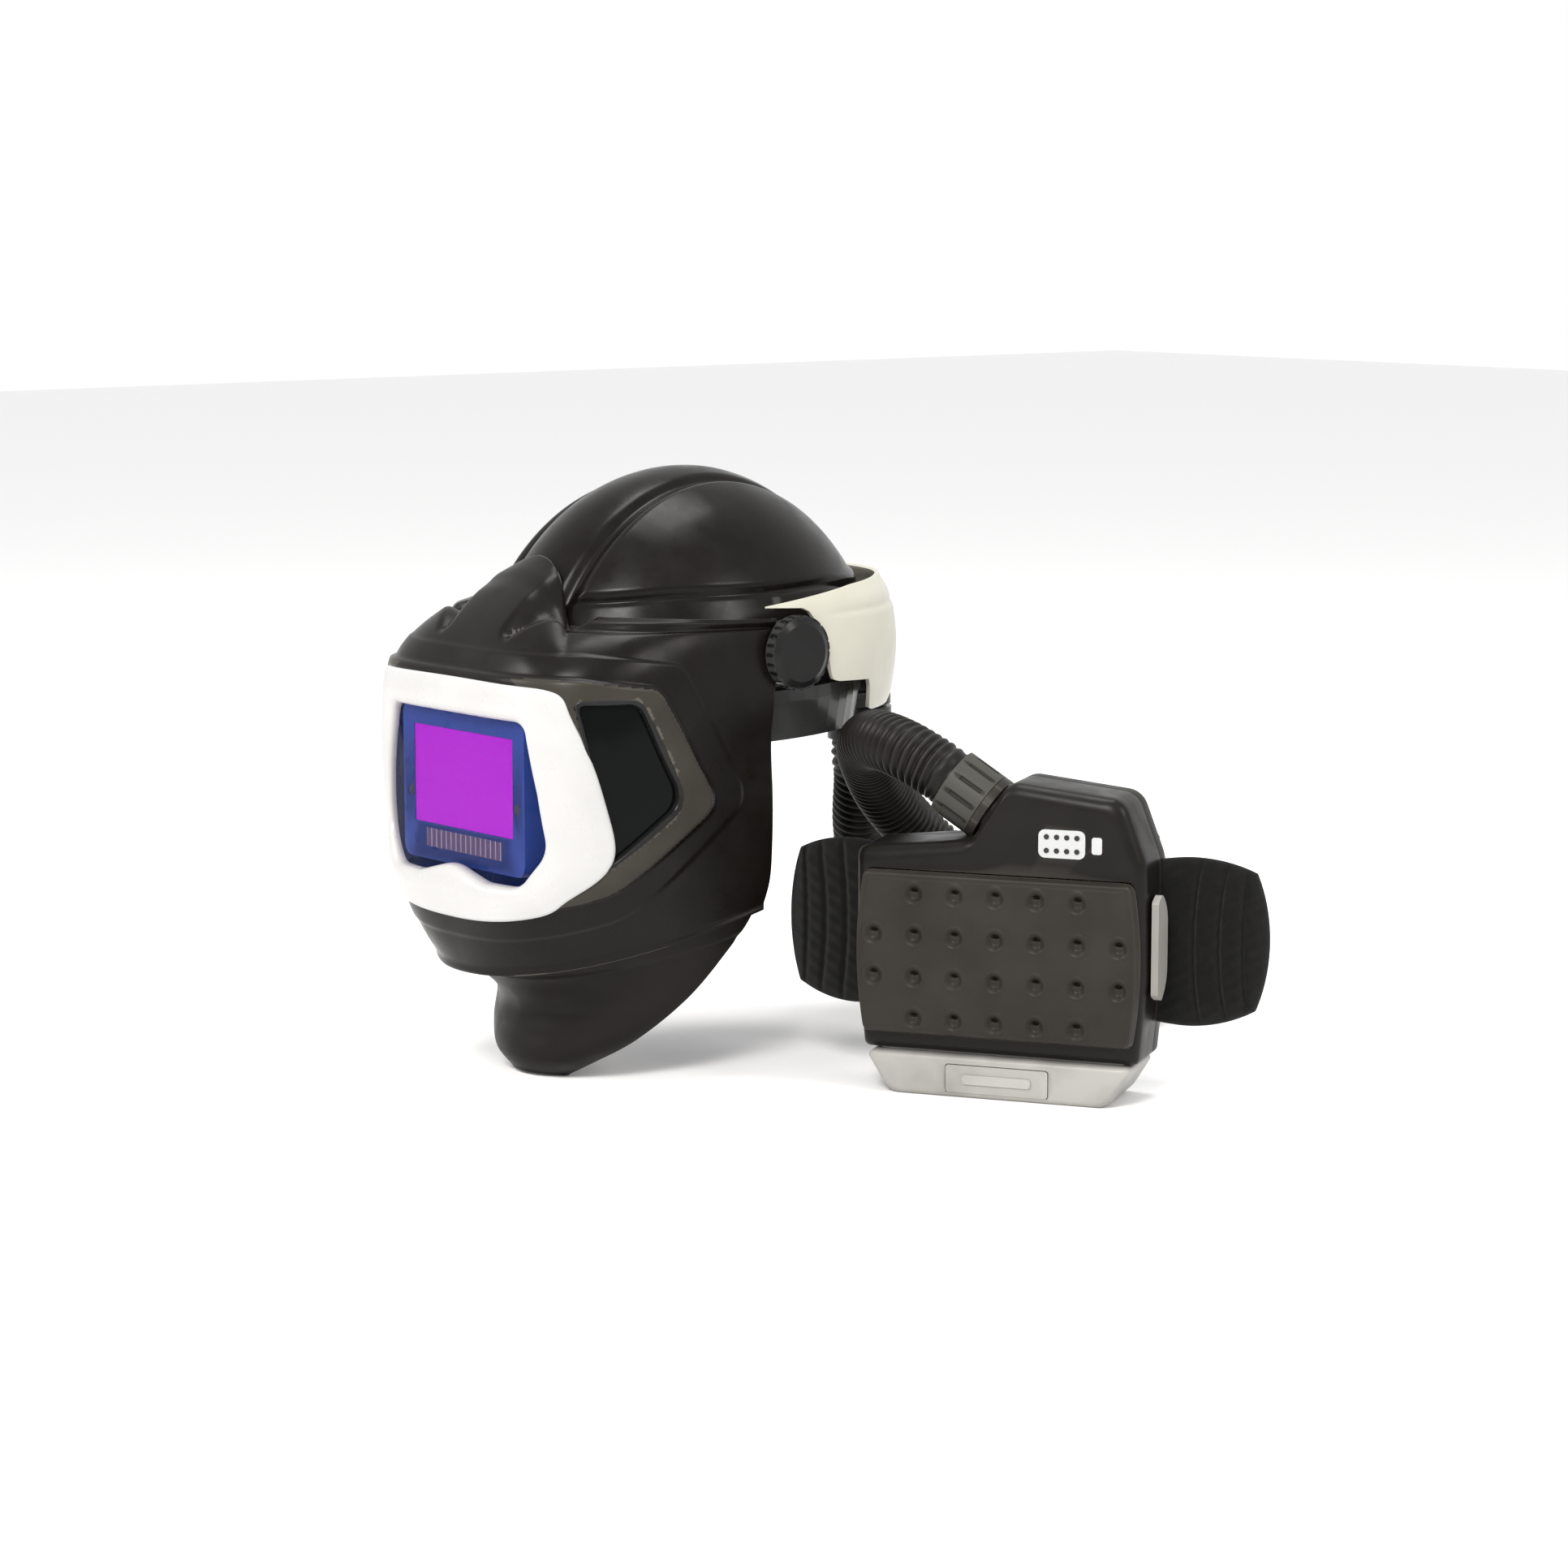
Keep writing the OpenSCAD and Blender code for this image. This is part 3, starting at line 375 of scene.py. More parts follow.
battery_mat = moulded("battery_grey", (0.25, 0.245, 0.23), 0.36, (0.45, 0.44, 0.42), strength=0.25, amount=0.3)
cuff_mat = moulded("cuff_grey", (0.0125, 0.012, 0.010), 0.45, (0.08, 0.08, 0.07), strength=0.35)
rubber_mat = moulded("rubber", (0.007, 0.0062, 0.0056), 0.4, (0.07, 0.064, 0.058), grain=600, depth=0.00012)
button_mat = moulded("button", (0.5, 0.5, 0.5), 0.5, (0.7, 0.7, 0.7), strength=0.3)
board_mat = moulded("board", (0.012, 0.11, 0.045), 0.35, (0.5, 0.4, 0.12), grain=300, amount=0.8)
fan_mat = moulded("fan_nylon", (0.22, 0.22, 0.22), 0.5, (0.4, 0.4, 0.4))
cassette_mat = moulded("cassette", (0.004, 0.014, 0.07), 0.3, (0.05, 0.1, 0.35), strength=0.15)
steel_mat = moulded("steel", (0.55, 0.55, 0.56), 0.3, (0.8, 0.8, 0.8), grain=500, Metallic=1.0)
pad_mat = woven("pad_cloth", (0.002, 0.002, 0.002), (0.0055, 0.005, 0.0048))
web_mat = woven("webbing", (0.012, 0.012, 0.012), (0.035, 0.034, 0.032), pitch=700, depth=0.0006)
foam_mat = woven("towelling", (0.05, 0.05, 0.055), (0.11, 0.11, 0.12), pitch=900)
paper_mat = woven("filter_paper", (0.62, 0.62, 0.57), (0.82, 0.82, 0.78), pitch=150, depth=0.001)
seal_mat = woven("seal_cloth", (0.02, 0.02, 0.021), (0.05, 0.05, 0.05), pitch=1400)


def glassy(name, color, rough, see_through, tint):
    """A tinted plate: a glossy skin over a see-through body."""
    s = Shader(name, color, rough)
    s.rough_from(s.grey(s.noise(35, 3), rough, rough + 0.05))
    s.bump(s.noise(9, 2), 0.05, 0.001)
    out = s.nt.nodes["Material Output"]
    clear = s.new("ShaderNodeBsdfTransparent")
    clear.inputs["Color"].default_value = (*tint, 1)
    mix = s.new("ShaderNodeMixShader", Fac=see_through)
    s.link(s.bsdf.outputs["BSDF"], mix.inputs[1])
    s.link(clear.outputs["BSDF"], mix.inputs[2])
    s.link(mix.outputs["Shader"], out.inputs["Surface"])
    return s.mat


plate_mat = glassy("plate_blue", (0.005, 0.02, 0.12), 0.08, 0.9, (0.97, 0.95, 1.0))
clear_mat = glassy("clear_plate", (0.5, 0.55, 0.6), 0.05, 0.85, (0.9, 0.95, 1.0))
window_mat = glassy("window_tint", (0.002, 0.0025, 0.0025), 0.1, 0.06, (0.2, 0.25, 0.25))
window_mat.node_tree.nodes["Principled BSDF"].inputs["Specular IOR Level"].default_value = 0.07
plate_mat.node_tree.nodes["Principled BSDF"].inputs["Specular IOR Level"].default_value = 0.15
magenta = Shader("filter_magenta", (0.47, 0.012, 0.68), 0.2)
magenta.color_from(magenta.ramp(magenta.noise(6, 1), [(0.3, (0.26, 0.002, 0.32)), (0.7, (0.30, 0.003, 0.37))]))
magenta.bump(magenta.noise(20, 1), 0.03, 0.001)
magenta.bsdf.inputs["Specular IOR Level"].default_value = 0.1
# The filter glass glows faintly in its own magenta: a painted glow standing in for light on the glass, which is no lamp
magenta.bsdf.inputs["Emission Color"].default_value = (0.56, 0.004, 0.62, 1)
magenta.bsdf.inputs["Emission Strength"].default_value = 0.08
magenta_mat = magenta.mat
solar = Shader("solar_cell", (0.05, 0.01, 0.03), 0.2)
wave = solar.new("ShaderNodeTexWave", wave_type="BANDS", bands_direction="X", Scale=60.0)
solar.link(solar.coords, wave.inputs["Vector"])
solar.color_from(solar.ramp(wave.outputs["Fac"], [(0.9, (0.035, 0.008, 0.03)), (0.97, (0.25, 0.22, 0.25))]))
solar.bump(wave.outputs["Fac"], 0.1, 0.0002)
solar_mat = solar.mat
mesh_wire = Shader("wire_mesh", (0.2, 0.2, 0.21), 0.42, Metallic=1.0)
crossing = mesh_wire.new("ShaderNodeMath", operation="MAXIMUM")
for k, direction in enumerate(("X", "Z")):
    wires = mesh_wire.new("ShaderNodeTexWave", wave_type="BANDS", bands_direction=direction, Scale=170.0)
    mesh_wire.link(mesh_wire.coords, wires.inputs["Vector"])
    mesh_wire.link(wires.outputs["Fac"], crossing.inputs[k])
weave_tones = [(0.6, (0.012, 0.012, 0.012)), (0.85, (0.2, 0.2, 0.21))]
mesh_wire.color_from(mesh_wire.ramp(crossing.outputs["Value"], weave_tones))
mesh_wire.bump(crossing.outputs["Value"], 0.8, 0.0005)
wire_mat = mesh_wire.mat

# ---------- hose ----------
# The middle of the hose, the same route as its solid
HOSE = [
    (-38, -17, 193.5),
    (-45, -21, 199),
    (-68, -27, 209),
    (-98, -23, 212),
    (-126, -9, 205),
    (-148, 13, 188),
    (-163, 40, 163),
    (-163, 68, 136),
    (-148, 94, 108),
    (-128, 116, 82),
    (-108, 141, 57),
    (-95, 171, 36),
    (-98, 210, 23),
    (-120, 242, 20),
    (-156, 261, 20),
    (-197, 261, 20),
    (-234, 239, 20),
    (-260, 207, 23),
    (-275, 176, 33),
    (-275, 144, 56),
    (-267, 117, 90),
    (-251, 95, 128),
    (-236, 83, 164),
    (-235, 80, 178),
    (-235, 80, 190),
]
HOSE_R = 19.0
RIB_PITCH = 5.2
hose_line = smooth_at(HOSE, np.linspace(0, len(HOSE) - 1, 4000))
hose_s = np.concatenate([[0], np.cumsum(np.linalg.norm(np.diff(hose_line, axis=0), axis=1))])
hose_length = hose_s[-1]
rings = int(hose_length / RIB_PITCH * 8)
at = np.linspace(0, hose_length, rings)
centre = np.stack([np.interp(at, hose_s, hose_line[:, k]) for k in range(3)], -1)
along = unit(np.gradient(centre, axis=0))
side = np.empty_like(centre)
last = np.array([0.0, 0.0, 1.0])
for k in range(rings):
    last = unit(last - (last @ along[k]) * along[k])
    side[k] = last
other = np.cross(along, side)
phase = at / RIB_PITCH * 2 * math.pi
rib = 0.5 + 0.5 * np.cos(phase)
radius = HOSE_R - 2.6 * (1 - rib**0.6)
ends = np.minimum(step(at, 0, 9), step(hose_length - at, 0, 9))
radius = radius * ends + (HOSE_R - 0.6) * (1 - ends)
turns = np.linspace(0, 2 * math.pi, 33)[:-1]
tube = centre[:, None] + radius[:, None, None] * (
    np.cos(turns)[None, :, None] * side[:, None] + np.sin(turns)[None, :, None] * other[:, None]
)
hose = loft("breathing_hose", tube, in_world, cap_start=True, cap_end=True)
recalc(hose)
fixed(hose, "root", "hose_black", rubber_mat, "breathing_hose")

# ---------- visor surface ----------
# Levels from chin to brow: front height, front y, half width, rear y, rear height, squareness, nose share
VISOR = [
    (72, -174, 107, -22, 108, 2.1, 0),
    (92, -181, 109, -17, 126, 2.6, 0),
    (118, -183, 110, -15, 150, 3.5, 0),
    (150, -183, 111, -14, 180, 4.3, 0),
    (190, -182, 111, -14, 212, 4.8, 0),
    (228, -181, 112, -13, 236, 4.7, 0),
    (258, -179, 112, -12, 258, 4.3, 0),
    (276, -170, 111, -12, 274, 3.6, 0.24),
    (288, -152, 109, -12, 284, 3.2, 0.62),
    (294, -130, 107, -12, 290, 2.9, 1),
]


def nose_share(x, t):
    """Height of the wedge in the middle of the brow, which narrows towards the hat."""
    half = np.interp(t, [7, 8, 9], [80, 66, 42])
    return np.clip(np.cos(np.clip(x / half, -1, 1) * math.pi / 2), 0, 1) ** 0.7


def visor_point(t, a, grow):
    v = smooth_at(VISOR, t)
    e = 2 / v[..., 5]
    x = (v[..., 2] + grow) * signed_pow(np.cos(a), e)
    k = signed_pow(np.sin(a), e)
    y = v[..., 3] + (v[..., 1] - grow - v[..., 3]) * k
    z = v[..., 4] + (v[..., 0] - v[..., 4]) * k + np.clip(t - 6, 0, 1) * grow * k
    share = v[..., 6] * nose_share(x, t)
    return np.stack([x, y + 17 * share, z + 34 * share], -1)


def even_angles(n):
    """Angles that spread grid columns evenly over the squarish section."""
    a = np.linspace(1e-4, math.pi - 1e-4, 4000)
    p = visor_point(np.full_like(a, 4.0), a, 0.0)
    s = np.concatenate([[0], np.cumsum(np.linalg.norm(np.diff(p, axis=0), axis=1))])
    return np.interp(np.linspace(0, s[-1], n), s, a)


RIDGE = rounded([(-240, 264, 2), (-155, 262, 20), (-106, 255, 16), (-60, 179, 14), (-134, 129, 60), (-240, 100, 2)])
RIDGE_2 = rounded([(-240, 276, 2), (-146, 276, 20), (-88, 268, 14), (-36, 180, 16), (-124, 112, 60), (-240, 80, 2)])
SIDE_WINDOW = rounded([(-158, 248, 3), (-121, 248, 12), (-87, 183, 14), (-142, 145, 3)])
SCOOP = rounded([(31, -106, 2), (30, -168, 3), (66, -128, 10), (56, -104, 6)])
SCOOP_DEPTH = 10.0
SCOOP_WALL = (-6.0, 9.0)


FRAME_SIDE = [(-168, 257), (-163, 248), (-155, 226), (-147, 203), (-140.5, 180), (-136, 165), (-134.5, 155),
              (-136, 147.5), (-142, 139.5), (-152, 132), (-164, 125), (-176, 117.5), (-215, 107)]


def visor_detail(p):
    """How far each point of the visor's shell stands out from the plain surface."""
    yz, xy = p[..., 1:], np.stack([np.abs(p[..., 0]), p[..., 1]], -1)
    band = inside(RIDGE, yz)
    out = 3.2 * step(band, -1.2, 2.6)
    faint = inside(RIDGE_2, yz)
    out += 0.9 * step(faint, -1.0, 1.6) * step(-band, -30, 4)
    out -= 4.4 * step(inside(SIDE_WINDOW, yz), -0.5, 0.6)
    return out, inside(SCOOP, xy)


rows, cols = 190, 300
levels = np.linspace(0, 9, rows)
T, A = np.meshgrid(levels, even_angles(cols), indexing="ij")
base = visor_point(T, A, 0.0)
out_n = normals(base)
if out_n[rows // 2, cols // 2, 1] > 0:
    out_n = -out_n
lift, scoop = visor_detail(base)
edge_y = np.interp(base[..., 2], [q[1] for q in FRAME_SIDE][::-1], [q[0] for q in FRAME_SIDE][::-1])
# The shell steps in a little where the white frame lies on it
above_chin = base[..., 2] - 15 * (np.abs(base[..., 0]) / 92) ** 2.5
under = 1 - step(base[..., 1] - edge_y, -6, -1)
under = under * step(above_chin, 106.5, 110.5) * (1 - step(base[..., 2], 253, 257))
lift = lift * (1 - under) - 0.6 * under
brow = step(T, 8.25, 8.55) * 2.4 - 1.3 * np.exp(-(((T - 8.2) / 0.16) ** 2))
lift = lift + brow * (1 - nose_share(base[..., 0], T) * 0.8)
shell = base + out_n * lift[..., None]
high = step(T, 6.4, 7.2)
shell[..., 2] -= SCOOP_DEPTH * step(scoop, *SCOOP_WALL) * high
rim_low = step(0.35 - T, 0, 0.3)
shell = shell + out_n * (1.6 * rim_low)[..., None]
faces = []
hole = rounded([(-85, 130.5, 12), (85, 130.5, 12), (85, 239.5, 10), (-85, 239.5, 10)])
keep = np.ones((rows - 1, cols - 1), bool)
mid = (base[:-1, :-1] + base[1:, 1:]) / 2
keep &= ~((inside(hole, mid[..., [0, 2]]) > 0) & (mid[..., 1] < -100))
index = np.arange(rows * cols).reshape(rows, cols)
for r in range(rows - 1):
    for c in range(cols - 1):
        if keep[r, c]:
            faces.append([index[r, c], index[r, c + 1], index[r + 1, c + 1], index[r + 1, c]])
visor = mesh_object("visor_shell", shell.reshape(-1, 3), faces, in_helmet)
recalc(visor)
plate(visor, 2.6, 0.9)
fixed(visor, "visor", "shell_black", shell_mat, "visor_shell")
visor.data.materials.append(band_highlight_mat)
visor.data.materials.append(gloss_mat)
band_in = inside(RIDGE, mid[..., 1:])
window_in = inside(SIDE_WINDOW, mid[..., 1:])
mid_edge = np.interp(mid[..., 2], [q[1] for q in FRAME_SIDE][::-1], [q[0] for q in FRAME_SIDE][::-1])
# Faces on the raised window band take the lighter band material, which is a painted highlight; faces in the window
# recess take black gloss
which = np.where((band_in > 1.5) & (mid[..., 1] > mid_edge - 8) & (mid[..., 2] > 108), 1, 0)
which = np.where(window_in > -0.9, 2, which)
visor.data.polygons.foreach_set("material_index", which[keep].astype(np.int32))

# A fine copy of the plain surface, to lay other pieces on
plain_faces = grid_faces(rows, cols)
tree = BVHTree.FromPolygons(base.reshape(-1, 3).tolist(), plain_faces)


def on_visor(points):
    """Points of the plain visor surface beyond the given points, seen from the visor's middle, and the ways out."""
    found, outward = [], []
    for p in points:
        o = Vector((0, -60, p[2]))
        d = Vector((p[0], p[1] + 60, 0)).normalized()
        loc, nor, _, _ = tree.ray_cast(o, d)
        if loc is None:
            loc, nor, _, _ = tree.find_nearest(Vector(p))
        if nor.dot(d) < 0:
            nor = -nor
        found.append(loc)
        outward.append(nor)
    return np.array(found, float), np.array(outward, float)


def front_at(outline, n):
    """An outline in X and Z, put on the visor's front."""
    c = outline.mean(0)
    ang = np.linspace(0, 2 * math.pi, n, endpoint=False)
    p = star(outline, c, ang)
    pts = []
    for x, z in p:
        loc, _, _, _ = tree.ray_cast(Vector((x, -400, z)), Vector((0, 1, 0)))
        pts.append(loc if loc is not None else Vector((x, -180, z)))
    return np.array(pts, float), ang


def profile(s, points):
    xs, ys = zip(*points)
    return np.interp(s, xs, ys)


# ---------- white frame ----------
FRAME_OPENING = rounded([(-68, 235, 9), (68, 235, 9), (78, 192, 60), (83, 156, 22), (64, 133, 14), (34, 133, 30),
                         (0, 142, 40), (-34, 133, 30), (-64, 133, 14), (-83, 156, 22), (-78, 192, 60)])
n_round = 420
inner, ang = front_at(FRAME_OPENING, n_round)
side_z = np.array([q[1] for q in FRAME_SIDE])[::-1]
side_y = np.array([q[0] for q in FRAME_SIDE])[::-1]


def frame_outer():
    """The white frame's outer edge on the visor: over the top, down one side, under the chin and back up."""
    pts = []
    top = [(x, 258 - 2 * (abs(x) / 100) ** 2) for x in np.linspace(-98, 98, 60)]
    low = [(x, 107.5 + 15 * (abs(x) / 92) ** 2.5) for x in np.linspace(90, -90, 60)]
    for x, z in top:
        loc, _, _, _ = tree.ray_cast(Vector((x, -400, z)), Vector((0, 1, 0)))
        pts.append(loc)
    for z in np.linspace(251, 122, 90):
        y = np.interp(z, side_z, side_y)
        loc, _, _, _ = tree.ray_cast(Vector((300, y, z)), Vector((-1, 0, 0)))
        pts.append(loc)
    for x, z in low:
        loc, _, _, _ = tree.ray_cast(Vector((x, -400, z)), Vector((0, 1, 0)))
        pts.append(loc)
    for z in np.linspace(122, 251, 90):
        y = np.interp(z, side_z, side_y)
        loc, _, _, _ = tree.ray_cast(Vector((-300, y, z)), Vector((1, 0, 0)))
        pts.append(loc)
    pts = np.array([p for p in pts if p is not None], float)
    for _ in range(30):
        pts = (np.roll(pts, 1, 0) + 2 * pts + np.roll(pts, -1, 0)) / 4
    s = np.concatenate([[0], np.cumsum(np.linalg.norm(np.diff(np.vstack([pts, pts[:1]]), axis=0), axis=1))])
    ring = np.vstack([pts, pts[:1]])
    return s, ring


s_out, ring_out = frame_outer()
# Match both edges by the direction seen from the opening's middle, unrolled sideways by arc length
mid_z = 185.0


def heading(p):
    return np.arctan2(p[:, 2] - mid_z, np.sign(p[:, 0]) * np.sqrt(p[:, 0] ** 2 + np.maximum(p[:, 1] + 175, 0) ** 2))


dense = np.stack([np.interp(np.linspace(0, s_out[-1], 3000), s_out, ring_out[:, k]) for k in range(3)], -1)
dense_ang = np.mod(heading(dense), 2 * math.pi)
order = np.argsort(dense_ang)
dense, dense_ang = dense[order], dense_ang[order]
in_ang = np.mod(heading(inner), 2 * math.pi)
outer = np.stack(
    [np.interp(in_ang, np.r_[dense_ang[-200:] - 2 * math.pi, dense_ang, dense_ang[:200] + 2 * math.pi],
               np.r_[dense[-200:, k], dense[:, k], dense[:200, k]]) for k in range(3)], -1)
for _ in range(4):
    outer = (np.roll(outer, 1, 0) + 2 * outer + np.roll(outer, -1, 0)) / 4
steps = np.concatenate([np.linspace(0, 0.12, 12, endpoint=False), np.linspace(0.12, 0.88, 26, endpoint=False),
                        np.linspace(0.88, 1, 12)])
HEIGHT = [(0, -1.2), (0.015, 0.4), (0.04, 1.5), (0.1, 2.9), (0.2, 4.2), (0.4, 5.0), (0.7, 5.2), (0.9, 5.0),
          (0.95, 4.5), (0.98, 3.4), (0.993, 1.8), (1, 0.3)]
frame_loops = [inner + np.array([0, 5.5, 0])]
for s in steps:
    pos, nor = on_visor(inner * (1 - s) + outer * s)
    frame_loops.append(pos + nor * profile(s, HEIGHT))
pos, nor = on_visor(outer)
frame_loops.append(pos + nor * 0.1 - unit(outer - inner) * 3)
white = loft("front_frame", frame_loops, in_helmet)
recalc(white)
modify(white, "SMOOTH", factor=0.5, iterations=3)
fixed(white, "visor", "frame_white", white_mat, "front_frame")


# ---------- cover plate and side windows ----------
def patch(name, edge, centre_point, depth, rows_n=24, crown=0.0):
    loops = []
    for k in range(rows_n):
        s = 1 - k / rows_n
        pts = centre_point + (edge - centre_point) * s
        pos, nor = on_visor(pts)
        loops.append(pos - nor * (depth - crown * (1 - s * s)))
    verts = np.array(loops).reshape(-1, 3)
    n = len(edge)
    pos, nor = on_visor([centre_point])
    verts = np.vstack([verts, pos - nor * (depth - crown)])
    faces_p = grid_faces(rows_n, n, closed=True)
    tip = len(verts) - 1
    base_i = (rows_n - 1) * n
    faces_p += [[base_i + c, base_i + (c + 1) % n, tip] for c in range(n)]
    return recalc(mesh_object(name, verts, faces_p, in_helmet))


plate_edge, _ = front_at(rounded([(-84, 131.5, 12), (84, 131.5, 12), (84, 238.5, 10), (-84, 238.5, 10)]), 220)
cover_plate = patch("cover_plate", plate_edge, np.array([0, -180, 185.0]), 2.1)
plate(cover_plate, 1.4, 0.4)
fixed(cover_plate, "visor", "plate_blue", plate_mat, "cover_plate")

for m, label in ((1, "left"), (-1, "right")):
    c2 = SIDE_WINDOW.mean(0)
    ring = star(c2 + (SIDE_WINDOW - c2) * 0.985, c2, np.linspace(0, 2 * math.pi, 200, endpoint=False))
    pts = []
    for y, z in ring:
        loc, _, _, _ = tree.ray_cast(Vector((m * 300, y, z)), Vector((-m, 0, 0)))
        pts.append(loc)
    c3, _, _, _ = tree.ray_cast(Vector((m * 300, c2[0], c2[1])), Vector((-m, 0, 0)))
    win = patch(f"side_window_{label}", np.array(pts, float), np.array(c3, float), 0.6, crown=0.6)
    plate(win, 1.6, 0.5)
    fixed(win, "visor", "window_tint", window_mat, f"side_window_{label}")

    lips = []
    for off, high in ((1.8, 2.2), (1.7, 3.5), (1.1, 4.1), (0.2, 4.0), (-1.2, 3.4), (-1.9, 2.2), (-2.1, -0.8)):
        lip = star(SIDE_WINDOW, c2, np.linspace(0, 2 * math.pi, 200, endpoint=False))
        lip = lip + unit(lip - c2) * off
        pts = [tree.ray_cast(Vector((m * 300, y, z)), Vector((-m, 0, 0)))[:2] for y, z in lip]
        lips.append([np.array(q[0]) + np.array(q[1] if q[1][0] * m > 0 else -q[1]) * high for q in pts])
    lip_ob = recalc(loft(f"side_window_lip_{label}", lips, in_helmet))
    fixed(lip_ob, "visor", "trim_rubber", gloss_mat)

# ---------- throat guard ----------
THROAT = [
    (1.5, -130, 22, -112, 0, 2),
    (14, -137, 42, -108, 10, 2),
    (30, -134, 66, -90, 27, 1.8),
    (46, -132, 86, -64, 54, 1.65),
    (61, -145, 97, -40, 84, 1.85),
    (74, -166, 102, -27, 103, 2),
    (86, -172, 104, -24, 117, 2.1),
]


def throat_grid(nr, nc, grow=0.0):
    t, a = np.meshgrid(np.linspace(0, 6, nr), np.linspace(0, math.pi, nc), indexing="ij")
    v = smooth_at(THROAT, t)
    e = 2 / v[..., 5]
    k = signed_pow(np.sin(a), e)
    x = (v[..., 2] + grow) * signed_pow(np.cos(a), e)
    y = v[..., 3] + (v[..., 1] - grow - v[..., 3]) * k
    z = v[..., 4] + (v[..., 0] - v[..., 4]) * k
    return np.stack([x, y, z], -1), t


tg, tt = throat_grid(90, 200)
tn = normals(tg)
if tn[45, 100, 1] > 0:
    tn = -tn
tg = tg + tn * (0.6 * np.exp(-(((tt - 0.12) / 0.1) ** 2)) - 0.7 * np.exp(-(((tt - 4.3) / 0.12) ** 2)))[..., None]
tg[..., 2] = np.maximum(tg[..., 2], 0.2)
throat = recalc(mesh_object("throat_guard", tg.reshape(-1, 3), grid_faces(90, 200), in_helmet))
plate(throat, 2.4, 0.8)
fixed(throat, "visor", "throat_black", throat_mat, "throat_guard")


# ---------- face seal ----------
def seal_grid(nr, nc):
    t, a = np.meshgrid(np.linspace(0, 3, nr), np.linspace(0, math.pi, nc), indexing="ij")
    w = smooth_at([[93], [88], [82], [76]], t)[..., 0]
    y = smooth_at([[-134], [-128], [-118], [-106]], t)[..., 0]
    k = signed_pow(np.sin(a), 0.9)
    fold = 0.7 * np.sin(a * 46) * np.sin(t / 3 * math.pi)
    return np.stack([(w - 1 + fold) * signed_pow(np.cos(a), 0.9), -20 + (y + 21 + fold) * k,
                     106 + t * 22 + (1 - k) * 14], -1)


sg = seal_grid(60, 320)
seal = recalc(mesh_object("face_seal", sg.reshape(-1, 3), grid_faces(60, 320), in_helmet))
plate(seal, 0.8, 0)
fixed(seal, "visor", "seal_cloth", seal_mat, "face_seal")

# ---------- hard hat ----------
HAT_C = np.array([0, -2.0, 232.0])
HAT_R = np.array([107.0, 139.0, 144.0])


def hat_grid(nr, nc, grow=0.0):
    t, a = np.meshgrid(np.linspace(0, 1, nr), np.linspace(0, 2 * math.pi, nc, endpoint=False), indexing="ij")
    rim = 288 - 16 * np.maximum(0, np.sin(a))
    low = np.arcsin((rim - HAT_C[2]) / HAT_R[2])
    h = low + (math.radians(89.6) - low) * t
    r = HAT_R + grow
    p = HAT_C + np.stack([r[0] * np.cos(h) * np.cos(a), r[1] * np.cos(h) * np.sin(a), r[2] * np.sin(h)], -1)
    return p, t, a


def hat_detail(p):
    """The hat's raised middle rib, the groove beside it, its bulging side panel and the strip behind that."""
    x, y, z = np.abs(p[..., 0]), p[..., 1], p[..., 2]
    front = step(-y, -40, 110)
    edge = 22 + 8 * front + 5 * step(y, 60, 140)
    out = 1.2 * step(edge - x, 0, 5) + 2.6 * np.clip(1 - (x / edge) ** 2, 0, 1)
    out -= 2.0 * np.exp(-(((x - edge - 2.2) / 2.6) ** 2))
    rim_line = 301 + 4 * step(y, -120, -60) - 12 * step(y, 40, 130)
    inner_panel = np.minimum(x - edge - 5, (z - rim_line) * 1.1)
    inner_panel = np.minimum(inner_panel, (y + 122) * 0.9)
    out += 3.0 * step(inner_panel, 0, 7) - 0.8 * np.exp(-((inner_panel / 1.8) ** 2))
    rise = 0.06 * (y - 10)
    bar = np.minimum(np.minimum(z - 295 - rise, 306 + rise - z), np.minimum(y + 2, 108 - y) * 0.6)
    out += 1.5 * step(bar, -1.0, 4.0)
    return out


hp, ht, _ = hat_grid(170, 360)
hn = unit((hp - HAT_C) / HAT_R**2)
hp = hp + hn * (hat_detail(hp) * step(ht, 0, 0.03))[..., None]
tip = HAT_C + np.array([0, 0, HAT_R[2] + 3.8])
nr, nc = ht.shape
top_row = (nr - 1) * nc
hat_faces = grid_faces(nr, nc, closed=True)
hat_faces += [[top_row + c, top_row + (c + 1) % nc, nr * nc] for c in range(nc)]
hat = recalc(mesh_object("hard_hat", np.vstack([hp.reshape(-1, 3), tip]), hat_faces, in_helmet))
plate(hat, 3.0, 1.0)
fixed(hat, "root", "shell_black", hat_mat, "hard_hat_shell")

# ---------- rear cover ----------
COVER = [(215, 110, 141), (232, 114, 148), (262, 117, 151), (285, 117, 148), (298, 116.5, 142), (310, 114, 134)]
COVER_LOW = [(-26, 298.6), (6, 296.6), (12, 294), (18, 286), (24, 275), (28, 264), (31, 254), (34, 249), (40, 247.4),
             (74, 245.2), (77, 240), (79, 231), (82, 225.5), (88, 224), (170, 224)]
COVER_HIGH = [(-26, 299.6), (0, 302), (60, 307.5), (110, 309.4), (170, 309.6)]
cz = np.array([c[0] for c in COVER])


def cover_xyz(a, z):
    v = smooth_at(COVER, np.interp(z, cz, np.arange(len(COVER))))
    k = signed_pow(np.sin(a), 0.9)
    return np.stack([v[..., 1] * signed_pow(np.cos(a), 0.9), -30 + (v[..., 2] + 30) * k, z], -1)


